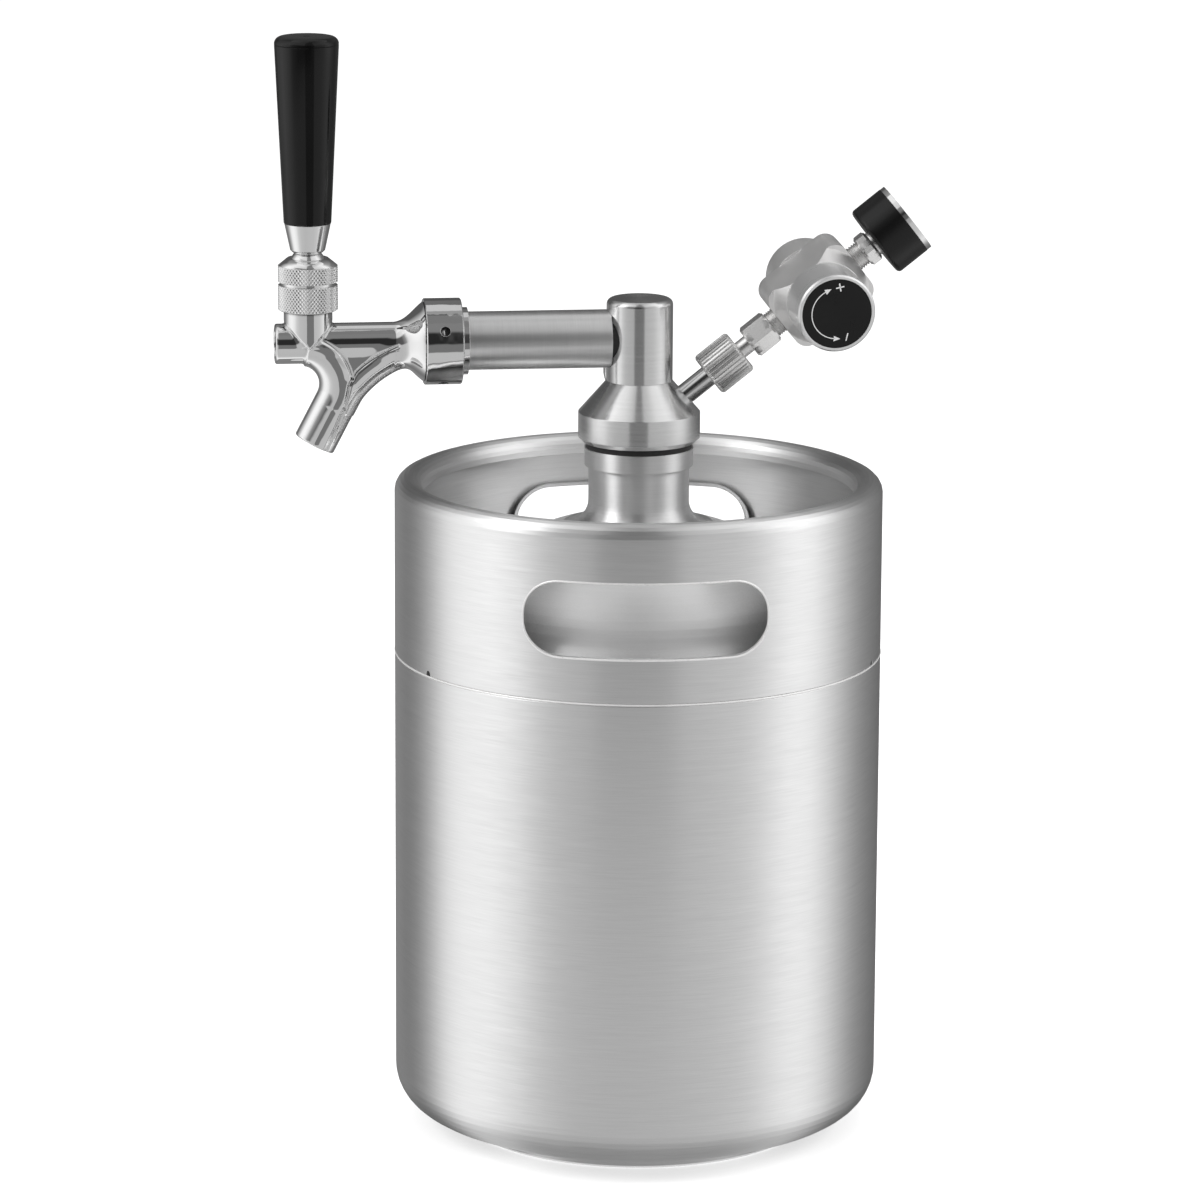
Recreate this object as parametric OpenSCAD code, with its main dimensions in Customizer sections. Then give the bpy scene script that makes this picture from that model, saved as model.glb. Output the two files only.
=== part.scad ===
// Mini keg beer dispenser: a stainless keg, a screw-in head with a side faucet, and a gas regulator.
// Millimetres. The origin is the centre of the foot on the table, +Z is up, the faucet points along -X
// and the gas side along +X. The front of the regulator looks along -Y.

/* [Keg] */
// Outer diameter of the keg
keg_d = 168; // [156:1:180]
// Height of the keg from the table to the top of its rim
keg_h = 230; // [226:1:234]
// Thickness of the keg's sheet
sheet = 1.2; // [1:0.1:1.5]
// Radius of the rolled lower corner
corner_r = 14.5; // [10:0.5:20]
// Distance of the pressed foot inside the body's wall
foot_inset = 23; // [19:0.5:28]
// Width of the foot's standing face
foot_w = 10; // [6:0.5:16]
// Height of the foot's step
foot_h = 6; // [4:0.5:9]
// Height of the pressed-in middle of the base
base_lift = 3.5; // [2:0.5:6]
// Height of the chime, from the seam to the top of its rim
chime_h = 61; // [58:0.5:70]
// Gap that shows along the seam
seam_gap = 0.4; // [0.2:0.1:1]
// Bevel on each edge of the seam
seam_bevel = 0.35; // [0.2:0.05:0.5]

/* [Chime] */
// Radius of the tube that the top rim is rolled to
rim_r = 4.75; // [3.5:0.25:6]
// Straight length of the rolled rim's inner lip
rim_lip = 2.2; // [1:0.2:4]
// Width of a hand slot, straight across
slot_w = 82; // [70:1:90]
// Height of a hand slot
slot_h = 26; // [24:1:28]
// Corner radius of a hand slot
slot_corner_r = 12; // [8:0.5:12]
// Depth of a hand slot's lower edge below the top of the rim
slot_drop = 45.7; // [44:0.1:48]
// How far the slot's turned-in edge reaches inward
slot_lip = 3.5; // [2:0.5:5]
// Turn of the front hand slot about the keg's axis, in degrees
slot_turn = -5.3; // [-20:0.1:20]
// Diameter of the small drain holes above the seam
drain_d = 2.5; // [1.5:0.5:4]
// Angle of the drain holes from the front, in degrees
drain_turn = 65; // [45:1:80]

/* [Shoulder and neck] */
// Length of the shoulder's flange inside the body
shoulder_flange = 10; // [6:1:14]
// Radius where the shoulder meets the neck
neck_root_r = 26; // [24:0.5:30]
// Depth below the top of the rim where the shoulder meets the neck
neck_root_drop = 16.6; // [14:0.2:22]
// Outer radius of the neck tube
neck_r = 17.35; // [17:0.05:18]
// Radius of the thread bore in the neck
neck_bore_r = 14.9; // [14.5:0.1:15.2]
// Height of the concave blend at the neck's root
neck_blend = 8; // [5:0.5:10]
// Outer radius of the ring at the neck's top
neck_ring_r = 18.7; // [18.4:0.1:20]
// Height of the ring at the neck's top
neck_ring_h = 6.2; // [4:0.2:8]
// Height of the neck's top face above the top of the rim
neck_rise = 10.2; // [8:0.2:14]

/* [Collar and tower] */
// Thickness of the gasket under the collar
gasket_h = 2.1; // [1.5:0.1:3]
// Outer radius of the gasket under the collar
gasket_r = 18.2; // [16.5:0.1:19]
// Outer radius of the collar's skirt
skirt_r = 20.95; // [20:0.05:23]
// Height of the collar's skirt
skirt_h = 10.2; // [8:0.2:13]
// Bevel under the collar's skirt
skirt_bevel = 1.5; // [0.5:0.1:2]
// Height of the collar's cone
cone_h = 10.9; // [9:0.1:13]
// Length of the threaded spigot below the collar
spigot_l = 14; // [10:0.5:18]
// Radius of the gas chamber up the middle of the head
chamber_r = 8.5; // [8:0.1:9]
// Outer radius of the tower
tower_r = 11.4; // [11:0.1:12]
// Height of the tower above the collar's cone
tower_h = 28.5; // [27:0.5:32]
// Radius of the tower's rounded top edge
tower_round = 2.1; // [1:0.1:3]
// Height of the shank's axis above the foot of the tower
shank_rise = 14.6; // [14:0.1:15.5]

/* [Riser] */
// Outer radius of the dip tube
tube_r = 4; // [3:0.1:4.5]
// Wall of the dip tube
tube_wall = 0.8; // [0.5:0.1:1]
// Gap between the dip tube and the base of the keg
tube_gap = 5; // [3:0.5:12]
// Height of the hexagon of the dip tube's nut
tube_nut_h = 4; // [3:0.5:5]
// Thickness of the dip tube's seal
tube_seal_h = 1.6; // [1:0.1:2]
// How far the dip tube reaches past its seal
tube_seat_l = 2.6; // [2:0.1:3]

/* [Shank and coupling] */
// Outer radius of the shank pipe
shank_r = 10; // [9:0.1:10.2]
// Distance of the shank's near end from the tower's axis
shank_near = 10.4; // [10:0.1:10.8]
// Distance of the snap ring from the tower's axis
ring_at = 59.4; // [50:0.1:75]
// Thickness of the snap ring
ring_w = 1.9; // [1:0.1:2.5]
// Outer radius of the snap ring
ring_r = 11.5; // [11:0.1:12.5]
// Depth of the snap ring's groove
ring_groove = 0.8; // [0.5:0.1:1.2]
// Bore of the shank for the beer
beer_r = 4; // [3:0.1:4.5]
// Radius of the shank's threaded end in the tower
shank_thread_r = 6; // [5.5:0.1:6.3]
// Radius of the black washer between tower and shank
washer_r = 8; // [7.5:0.1:8.5]
// Thickness of the black washer
washer_w = 2.8; // [2:0.1:3.5]
// Length of the coupling nut
nut_l = 12.7; // [12:0.1:16]
// Outer radius of the coupling nut
nut_r = 14.75; // [14.2:0.05:16]
// Wall of the coupling nut behind its thread
nut_wall = 2.3; // [1.8:0.1:3]
// Radius of the coupling nut's thread
nut_thread_r = 12.4; // [12:0.1:12.8]
// Radius of a spanner hole
spanner_hole_r = 1.7; // [1.2:0.1:2]
// Turn of the first spanner hole above the front, in degrees
spanner_turn = 23; // [0:1:45]
// Thickness of the gasket between shank and tap
coupling_gasket_w = 1.9; // [1:0.1:2.5]
// Thickness of the flange on the shank's far end
shank_flange_w = 2; // [1.5:0.1:2.5]

/* [Tap] */
// Outer radius of the tap's barrel
barrel_r = 6.9; // [6.7:0.1:7.4]
// Distance of the barrel's open end from the tower's axis
barrel_end = 125; // [122:0.5:130]
// Radius of the barrel's bore
barrel_bore_r = 5.2; // [5.1:0.05:5.5]
// Radius of the flare at the coupling nut
flare_r = 13.6; // [13:0.1:14]
// Length of the flare along the barrel
flare_l = 9.8; // [8:0.1:12]
// Gap between the coupling nut's face and the tap's flare
nut_face_gap = 0.15; // [0.1:0.05:0.5]
// Distance of the lever's axis from the tower's axis
stem_at = 113.6; // [111:0.1:115]
// Outer radius of the stem under the bonnet
stem_r = 8.3; // [8:0.1:8.6]
// Height of the stem above the barrel's axis
stem_h = 11.6; // [11:0.1:13]
// Depth of the stem's pointed root below the barrel's axis
stem_tip = 0.8; // [0:0.1:2]
// Length of the stem's thread inside the bonnet
stem_thread_l = 5.4; // [4:0.1:6]
// Outer radius of the spout
spout_r = 7.25; // [7:0.05:7.6]
// Bore of the spout
spout_bore_r = 5.4; // [4.5:0.1:5.6]
// Length of the spout's full bore, from its mouth
spout_bore_l = 15; // [12:0.5:15.5]
// Radius of the beer way from the barrel through the web to the spout
spout_way_r = 3.8; // [3:0.1:3.8]
// Lean of the spout from the vertical, in degrees
spout_lean = 27.5; // [25:0.5:30]
// Length of the spout along its axis from the barrel's axis
spout_l = 39.1; // [36:0.1:44]
// Distance where the spout's axis meets the barrel's, from the tower's axis
spout_at = 93.7; // [92.5:0.1:95]
// Radius of the spout's inner bend, measured to the surface
bend_r = 6.4; // [5:0.1:8]
// Radius of the long curve from the coupling down to the spout, measured to the surface
flank_r = 33; // [28:0.5:40]
// Half the thickness of the flat web between barrel and spout
web_half = 5; // [4:0.1:6]

/* [Bonnet and lever] */
// Outer radius of the bonnet
bonnet_r = 10.2; // [10:0.1:11]
// Height of the bonnet's lower knurled band
band_low_h = 9; // [8:0.1:10]
// Width of the groove between the bands
band_groove = 0.5; // [0.3:0.1:1]
// Depth of the groove between the bands
band_groove_depth = 0.5; // [0.3:0.1:0.8]
// Height of the bonnet's upper band
band_high_h = 5.9; // [5:0.1:7]
// Radius of the lever's ball
ball_r = 6.2; // [5.8:0.1:6.4]
// Height of the bonnet's top above the middle of the ball
bonnet_over_ball = 2.5; // [2:0.1:3]
// Radius of the bonnet's top rim
bonnet_top_r = 7; // [6.6:0.1:7.6]
// Radius of the ball at the lever's lower tip
tip_r = 2.6; // [2.4:0.1:2.7]
// Radius of the lever's neck above the ball
lever_neck_r = 4.2; // [3.8:0.1:4.4]
// Height of the ferrule's foot above the middle of the ball
ferrule_rise = 4.5; // [4.4:0.1:6]
// Height of the chrome ferrule
ferrule_h = 9.8; // [8:0.1:12]
// Radius of the ferrule's foot
ferrule_foot_r = 5.95; // [5.5:0.05:6.2]
// Radius of the ferrule's top
ferrule_top_r = 7.9; // [7:0.1:9]
// Bevel round the ferrule's foot
ferrule_bevel = 0.75; // [0.6:0.05:1]
// Length of the black handle
grip_l = 63.5; // [50:0.5:90]
// Radius of the handle's foot
grip_foot_r = 8.1; // [7:0.1:10]
// Radius of the handle's thick end
grip_top_r = 10.95; // [9:0.05:14]
// Rounding of the handle's top edge
grip_round = 2.5; // [1:0.1:4]
// Radius of the lever's threaded stud
stud_r = 4.5; // [4:0.1:4.7]
// Length of the stud inside the handle
stud_l = 16; // [10:1:24]
// Swing of the lever from closed to open, in degrees
lever_swing = 15; // [8:0.5:15]

/* [Tap valve] */
// Radius of the valve shaft's thin rod
rod_r = 2.2; // [1.8:0.1:2.5]
// Length of the shaft's guide
guide_l = 17; // [14:0.5:18]
// Outer radius of the shut-off washer
seal_r = 6.6; // [6.2:0.1:7]
// Thickness of the shut-off washer
seal_w = 2.4; // [2:0.1:3]
// Radius of the bore behind the shut-off washer
seat_bore_r = 8.2; // [8:0.1:8.6]
// Radius of the shaft's nut across its corners
shaft_nut_r = 4.6; // [4:0.1:5]
// Thickness of the shaft's nut
shaft_nut_w = 2.4; // [2:0.1:3]

/* [Gas line] */
// Depth below the foot of the cone where the gas axis crosses the tower's axis
gas_below = 7; // [6:0.1:8]
// Rise of the gas axis above the horizontal, in degrees
gas_rise = 38.4; // [35:0.1:42]
// Distance along the gas axis where it leaves the cone
gas_start = 20.4; // [20:0.1:21]
// Radius of the welded tail
tail_r = 3.7; // [3.4:0.1:4]
// Visible length of the welded tail
tail_l = 10; // [8:0.1:14]
// Bore of the gas way
gas_r = 1.5; // [1:0.1:1.8]
// Length of the union nut
union_l = 14; // [13:0.1:16]
// Outer radius of the union nut
union_r = 8; // [7.6:0.1:9]
// Count of the union nut's flutes
union_flutes = 36; // [24:2:48]
// Depth of the union nut's flutes
union_flute_depth = 0.35; // [0.2:0.05:0.5]
// Radius of the union's thread
union_thread_r = 5.6; // [5.2:0.1:5.9]
// Length of the thinner neck between union nut and hexagon
nipple_gap = 3.9; // [3:0.1:6]
// Radius of the nipple's neck
nipple_neck_r = 3.1; // [2.8:0.1:3.4]
// Width across the flats of the nipple's hexagon
nipple_af = 11; // [10:0.1:12]
// Length of the nipple's hexagon
nipple_hex_l = 9.8; // [8:0.1:12]
// Length of thread that shows between hexagon and block
nipple_thread_gap = 3.2; // [2:0.1:5]
// Radius of the nipple's thread in the block
nipple_thread_r = 4.75; // [4.4:0.05:5]
// Depth of the nipple's thread in the block
nipple_thread_l = 6; // [4:0.1:6.5]

/* [Regulator] */
// Turn of the regulator about the gas axis, in degrees
reg_roll = 6.5; // [-20:0.5:20]
// Length of the block along the gas axis
block_l = 32.7; // [31:0.1:36]
// Width of the block across the gas axis
block_w = 24.5; // [24:0.1:28]
// Depth of the block from front to back
block_d = 16; // [15:0.1:18]
// Corner radius of the block
block_corner_r = 5; // [3:0.1:6]
// Radius of the turned front boss at its root
front_boss_r = 17.2; // [16.4:0.1:18]
// Radius of the turned front boss at its face
front_face_r = 13.5; // [13:0.1:15]
// Length of the turned front boss
front_boss_l = 6.5; // [6:0.1:8]
// Radius of the rear boss with the cartridge socket
rear_boss_r = 13.25; // [12:0.05:14]
// Length of the rear boss
rear_boss_l = 12; // [11:0.1:16]
// Radius of the cartridge socket's thread
socket_r = 4.3; // [4:0.05:4.8]
// Length of the cartridge socket's thread
socket_l = 8; // [6:0.1:9]
// Radius of the spring housing
housing_r = 9; // [8.5:0.1:10]
// Thickness of the ring that closes the spring housing
closing_ring_l = 3.2; // [2.5:0.1:4]
// Radius of the adjusting screw
screw_r = 3; // [2.5:0.1:3.5]
// Advance of the adjusting screw for each turn
screw_pitch = 1.25; // [0.8:0.05:1.5]
// Outer radius of the pressure knob
knob_r = 13.4; // [12.5:0.1:15]
// Length of the pressure knob
knob_l = 17.3; // [14:0.1:20]
// Radius of the black label on the knob
label_r = 12; // [10:0.1:12.2]
// Thickness of the black label
label_w = 0.5; // [0.3:0.1:1]

/* [Gauge] */
// Length of gauge thread that shows above the block
gauge_thread_gap = 4; // [3:0.1:6]
// Radius of the gauge's thread
gauge_thread_r = 4.55; // [4.2:0.05:4.8]
// Depth of the gauge's thread in the block
gauge_thread_l = 5; // [4:0.1:6]
// Width across the flats of the gauge's hexagon
gauge_af = 10.6; // [10:0.1:12]
// Length of the gauge's hexagon
gauge_hex_l = 4.5; // [3.5:0.1:6]
// Length of the collar between hexagon and case
gauge_collar_l = 0.8; // [0.5:0.1:2]
// Outer radius of the gauge case
case_r = 13.2; // [12.5:0.1:15]
// Depth of the gauge case
case_l = 12.6; // [11:0.1:15]
// Wall of the gauge case
case_wall = 1.2; // [1:0.1:1.6]
// Rounding of the gauge case's back edge
case_round = 1.5; // [0.8:0.1:2]
// Length of the bezel in front of the case
bezel_l = 1.8; // [1.5:0.1:2.5]
// Width of the bezel's face
bezel_w = 1.6; // [1.2:0.1:2]
// Thickness of the lens
lens_w = 1; // [0.8:0.1:1.5]
// Thickness of the dial
dial_w = 0.5; // [0.3:0.1:0.8]

/* [Relief valve] */
// Depth of the relief valve's axis below the foot of the tower
relief_below = 1.4; // [1:0.1:1.5]
// Radius of the relief valve's body
relief_r = 5.5; // [5:0.1:6]
// Distance of the body's face from the tower's axis
relief_near = 10.6; // [10.4:0.1:11]
// Length of the relief valve's body
relief_l = 10.6; // [10.2:0.1:14]
// Outer radius of the relief valve's cap
relief_cap_r = 9.2; // [7:0.1:9.3]
// Length of the relief valve's cap
relief_cap_l = 6.5; // [5:0.1:9]
// Radius of the relief valve's stem
relief_stem_r = 1.4; // [1:0.1:1.8]
// Travel of the relief valve's cap when it is pulled
relief_travel = 2.5; // [1.5:0.1:3]

/* [Hidden] */

$fn = 96;
// Steps of an arc in an outline
arc_steps = 10;
// How far a cut runs past the face that it opens
over = 1;
// Gap of a fixed fit, such as a thread or a welded lap
fit = 0.05;
// Gap round a part that turns or slides
run = 0.08;
// Bevel on the ends of turned nuts and caps
nut_bevel = 1;
// Depth of a thread below the bar that it is cut on
thread_depth = 0.3;
// How far a flat seal stands clear of the edges that squeeze it
seal_lip = 1;

keg_r = keg_d / 2;
foot_r = keg_r - foot_inset;
seam_h = keg_h - chime_h;
slot_z = keg_h - slot_drop;
neck_root_h = keg_h - neck_root_drop;
neck_h = keg_h + neck_rise;
seam_low = seam_h - seam_gap / 2;
seam_high = seam_h + seam_gap / 2;

// Foot of the collar's skirt, of its cone and of the tower
skirt_z = neck_h + gasket_h;
cone_z = skirt_z + skirt_h;
tower_z = cone_z + cone_h;
gas_h = cone_z - gas_below;
tower_top = tower_z + tower_h;
shank_z = tower_z + shank_rise;

// The riser's seal and nut sit under its upper end, which stops just below the shank's thread
riser_gap = 0.3;
tube_top = shank_z - shank_thread_r - riser_gap;
tube_seal_z = tube_top - tube_seat_l - tube_seal_h;
tube_nut_z = tower_z - fit - tube_nut_h;
tube_foot = base_lift + sheet + tube_gap;
tube_nut_wall = 2.5;
tube_nut_r = tube_r + tube_nut_wall;

// Stations along the shank's axis, measured outward from the tower's axis
washer_at = shank_near - washer_w;
thread_near = 3;
nut_play = 0.3;
nut_at = ring_at + ring_w + nut_play;
nut_end = nut_at + nut_l;
shank_flange_at = nut_at + nut_wall + fit;
shank_end = shank_flange_at + shank_flange_w;
tap_at = shank_end + coupling_gasket_w;
flare_at = nut_end + nut_face_gap;
flare_end = flare_at + flare_l;

// The valve's seat, its washer and the guide on the shaft's far end
seat_depth = 2.6;
seat_cone_l = 3.5;
seat_at = flare_at + seat_depth;
seal_face = seat_at + seat_cone_l * (seat_bore_r - seal_r) / (seat_bore_r - barrel_bore_r) - fit;
seal_back = seal_face - seal_w;
guide_r = barrel_bore_r - run;
guide_share = 0.56;
guide_at = stem_at - guide_l * guide_share;
slot_play = 0.25;

// Heights above the barrel's axis up the stem, the bonnet and the lever
band_top = stem_h + band_low_h + band_groove + band_high_h;
ball_z = band_top;
bonnet_top = ball_z + bonnet_over_ball;
stem_top = stem_h + stem_thread_l;
stem_wall = 1.2;
stem_step = 0.7;
stem_thread_r = stem_r - stem_step;
stem_bore_r = stem_thread_r - stem_wall;
bonnet_wall = 1.6;
pocket_r = bonnet_r - bonnet_wall;
roof_drop = 0.6;
seat_drop = 2;
seat_hole_r = 5;
ferrule_z = ball_z + ferrule_rise;
grip_z = ferrule_z + ferrule_h;
arm_top_r = 2;
arm_foot_r = 1.2;

// The spout's axis as a direction in the plane of the barrel and the stem, and the way across it
spout_dir = [-sin(spout_lean), -cos(spout_lean)];
spout_side = [-cos(spout_lean), sin(spout_lean)];
spout_root = [-spout_at, 0];
bend_drop = 14;
bend_mid_r = bend_r + spout_r;
bend_t = (bend_drop + sin(spout_lean) * bend_mid_r) / cos(spout_lean);
bend_mid = spout_root + spout_dir * bend_t + spout_side * bend_mid_r;
bend_end = 78;
spout_lap = 3;
flank_inset = 0.15;
flank_t = bend_t + over;
flank_step = 0.3;
flank_tube_r = barrel_r - flank_step;
flank_mid = spout_root + spout_dir * flank_t - spout_side * (flank_r + spout_r - flank_inset);
flank_mid_r = flank_r + flank_tube_r;
flank_end = 118;

// Stations up the gas axis, measured from where it leaves the cone
tail_root = 5.2;
tail_grip = 7.2;
tail_end = tail_l + tail_grip;
nipple_seal_w = 1.2;
nipple_flange_w = 1.9;
nipple_at = tail_end + nipple_seal_w;
union_end = tail_l + union_l;
union_shelf = nipple_at + nipple_flange_w + fit;
hex_at = union_end + nipple_gap;
hex_end = hex_at + nipple_hex_l;
block_at = hex_end + nipple_thread_gap;
block_end = block_at + block_l;
block_mid = block_at + block_l / 2;
gauge_hex_at = block_end + gauge_thread_gap;
case_at = gauge_hex_at + gauge_hex_l + gauge_collar_l;
case_end = case_at + case_l;

// Stations along the knob's axis, measured forward from the block's middle
front_face = block_d / 2 + front_boss_l;
rear_face = -block_d / 2 - rear_boss_l;
housing_floor = 1;
diaphragm_w = 1.2;
plate_w = 1.8;
plate_at = 6.5;
spring_wire = 1.3;
spring_r = housing_r - 2 * spring_wire;
knob_gap = 0.1;
knob_at = front_face + knob_gap;
screw_grip = 10;
socket_floor = rear_face + socket_l;
socket_groove = 1.4;
socket_groove_r = socket_r + thread_depth;
pin_r = 0.9;
pin_root = 2;

// Inside of the gauge
dial_depth = 9;
dial_ledge = 0.8;
pointer_gap = 0.5;
pointer_w = 0.5;
pointer_pin_r = 0.5;
pointer_hub_r = 1.5;
pointer_l = 8.6;
dial_at = case_at + dial_depth;
pointer_at = dial_at + dial_w + pointer_gap;

// Relief valve, measured outward from the tower's axis
relief_z = tower_z - relief_below;
relief_end = relief_near + relief_l;
relief_wall = 1.6;
relief_bore_r = relief_r - relief_wall;
relief_way_r = 1.6;
relief_lid = 2.2;
relief_disc_w = 1.2;
relief_collar_w = 1;
relief_disc_at = relief_near + relief_wall;
relief_collar_at = relief_disc_at + relief_disc_w;
relief_spring_at = relief_collar_at + relief_collar_w;
relief_spring_l = relief_end - relief_lid - relief_spring_at;
relief_cap_gap = 0.2;
vent_r = 0.8;

// Points of an arc about a centre, from one angle to another
function arc(mid, r, from, to, steps = arc_steps) =
    [for (i = [0:steps]) mid + r * [cos(from + (to - from) * i / steps), sin(from + (to - from) * i / steps)]];

// A tube that stands on the plane z = 0
module tube(r_out, r_in, h) {
    difference() {
        cylinder(r = r_out, h = h);
        translate([0, 0, -over]) cylinder(r = r_in, h = h + 2 * over);
    }
}

// A hexagon bar by its width across the flats
module hex_bar(af, h) {
    cylinder(r = af / 2 / cos(30), h = h, $fn = 6);
}

// A rectangle with round corners, centred
module round_rect(w, h, r) {
    square([w - 2 * r, h], center = true);
    square([w, h - 2 * r], center = true);
    for (sx = [-1, 1], sy = [-1, 1])
        translate([sx * (w / 2 - r), sy * (h / 2 - r)]) circle(r);
}

// Local axis +Z runs outward along the shank, local +X points up
module along_shank(at = 0) {
    translate([0, 0, shank_z]) rotate([0, -90, 0]) translate([0, 0, at]) children();
}

// Local X and Y are the row's X and the height above the barrel's axis, seen from the front
module side_plane() {
    translate([0, 0, shank_z]) rotate([90, 0, 0]) children();
}

// Local +Z runs up the lever's axis from the barrel's axis
module up_stem(at = 0) {
    translate([-stem_at, 0, shank_z + at]) children();
}

// Local +Z runs up the gas axis from where it leaves the cone
module along_gas(at = 0) {
    translate([0, 0, gas_h]) rotate([0, 90 - gas_rise, 0])
        translate([0, 0, gas_start + at]) children();
}

// Local +Z runs forward along the knob's axis from the block's middle, local +Y up the gas axis
module along_knob(at = 0) {
    along_gas(block_mid) rotate([0, 0, reg_roll]) rotate([90, 0, 0])
        translate([0, 0, at]) children();
}

// Local +Z runs back along the relief valve's axis
module along_relief(at = 0) {
    translate([0, 0, relief_z]) rotate([-90, 0, 0]) translate([0, 0, at]) children();
}

// Body of the keg: one pressed sheet with a rolled corner, a stepped foot and a raised middle
module keg_shell() {
    foot_in = foot_r - foot_w;
    corner = [keg_r - corner_r, foot_h + corner_r];
    color("silver") rotate_extrude() polygon(concat(
        [[0, base_lift], [foot_in - sheet, base_lift], [foot_in, 0]],
        arc([foot_r - sheet, sheet], sheet, -90, 0),
        [[foot_r, foot_h]],
        arc(corner, corner_r, -90, 0),
        [[keg_r, seam_low - seam_bevel], [keg_r - seam_bevel, seam_low], [keg_r - sheet, seam_low]],
        arc(corner, corner_r - sheet, 0, -90),
        [[foot_r - sheet, foot_h + sheet], [foot_r - sheet, sheet], [foot_in + sheet / 2, sheet],
         [foot_in - sheet / 2, base_lift + sheet], [0, base_lift + sheet]]
    ));
}

// Shoulder: a dome with a flange that laps inside the body
shoulder_r = keg_r - sheet - fit;
shoulder_rise = 2;
shoulder_z = seam_h + shoulder_rise;
dome_mid = ((pow(shoulder_r, 2) + pow(shoulder_z, 2)) - (pow(neck_root_r, 2) + pow(neck_root_h, 2)))
    / (2 * (shoulder_z - neck_root_h));
dome_r = sqrt(pow(shoulder_r, 2) + pow(shoulder_z - dome_mid, 2));
function dome_angle(r, r_dome) = acos(r / r_dome);

module keg_shoulder() {
    inner_r = dome_r - sheet;
    rim_in = shoulder_r - sheet;
    color("gainsboro") rotate_extrude() polygon(concat(
        [[shoulder_r, seam_h - shoulder_flange]],
        arc([0, dome_mid], dome_r, dome_angle(shoulder_r, dome_r), dome_angle(neck_root_r, dome_r), 2 * arc_steps),
        arc([0, dome_mid], inner_r, dome_angle(neck_root_r, inner_r), dome_angle(rim_in, inner_r), 2 * arc_steps),
        [[rim_in, seam_h - shoulder_flange]]
    ));
}

// Neck: a tube that flares into the shoulder, with a ring and a thread bore at its top
module keg_neck() {
    root_r = neck_root_r - fit;
    inner_h = neck_root_h - sheet;
    color("silver") rotate_extrude() polygon(concat(
        [for (i = [0:arc_steps]) let (a = 90 * i / arc_steps)
            [neck_r + (root_r - neck_r) * (1 - sin(a)), neck_root_h + neck_blend * (1 - cos(a))]],
        [[neck_r, neck_h - neck_ring_h], [neck_ring_r, neck_h - neck_ring_h],
         [neck_ring_r, neck_h], [neck_bore_r, neck_h]],
        [for (i = [arc_steps:-1:0]) let (a = 90 * i / arc_steps)
            [neck_bore_r + (root_r - neck_bore_r) * (1 - sin(a)), inner_h + neck_blend * (1 - cos(a))]]
    ));
}

// Outline of a hand slot, grown all round by a margin
module slot_outline(margin = 0) {
    translate([0, slot_z + slot_h / 2])
        round_rect(slot_w + 2 * margin, slot_h + 2 * margin, slot_corner_r + margin);
}

// A bar with a hand slot's outline that runs out through the front wall
module slot_bar(margin = 0) {
    rotate([90, 0, 0]) translate([0, 0, keg_r / 2]) linear_extrude(keg_r / 2 + over) slot_outline(margin);
}

// Chime: the upper ring with its rolled rim, two flanged hand slots and four drain holes
module chime() {
    rim_z = keg_h - rim_r;
    rim_mid = [keg_r - rim_r, rim_z];
    color("silver") difference() {
        union() {
            rotate_extrude() polygon(concat(
                [[keg_r - seam_bevel, seam_high], [keg_r, seam_high + seam_bevel]],
                arc(rim_mid, rim_r, 0, 180),
                [[rim_mid[0] - rim_r, rim_z - rim_lip], [rim_mid[0] - rim_r + sheet, rim_z - rim_lip]],
                arc(rim_mid, rim_r - sheet, 180, 0),
                [[keg_r - sheet, shoulder_z + sheet], [keg_r - sheet, seam_high]]
            ));
            for (turn = [0, 180]) rotate([0, 0, slot_turn + turn]) intersection() {
                slot_bar(sheet);
                translate([0, 0, slot_z - slot_h]) tube(keg_r - sheet / 2, keg_r - slot_lip, 3 * slot_h);
            }
        }
        for (turn = [0, 180]) rotate([0, 0, slot_turn + turn]) {
            slot_bar();
            for (side = [-1, 1]) rotate([90, 0, side * drain_turn - slot_turn])
                translate([0, seam_high + drain_d / 4, 0]) cylinder(d = drain_d, h = keg_r + over);
        }
    }
}

module collar_gasket() {
    color("black") translate([0, 0, neck_h]) tube(gasket_r, neck_bore_r, gasket_h);
}

// Room that the relief valve's body and its gas way take out of the head
module relief_pocket() {
    along_relief(relief_near - fit) cylinder(r = relief_r + fit, h = skirt_r);
    along_relief() cylinder(r = relief_way_r, h = relief_near);
}

module collar() {
    spigot_r = neck_bore_r - run;
    color("lightgray") difference() {
        rotate_extrude() polygon([
            [chamber_r, skirt_z - spigot_l], [spigot_r - skirt_bevel / 2, skirt_z - spigot_l],
            [spigot_r, skirt_z - spigot_l + skirt_bevel / 2], [spigot_r, skirt_z],
            [skirt_r - skirt_bevel, skirt_z], [skirt_r, skirt_z + skirt_bevel],
            [skirt_r, cone_z], [tower_r, tower_z], [chamber_r, tower_z]
        ]);
        along_gas(-tail_root) cylinder(r = tail_r + fit, h = skirt_r);
        along_gas(-gas_start) cylinder(r = gas_r, h = gas_start);
        relief_pocket();
    }
}

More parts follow.
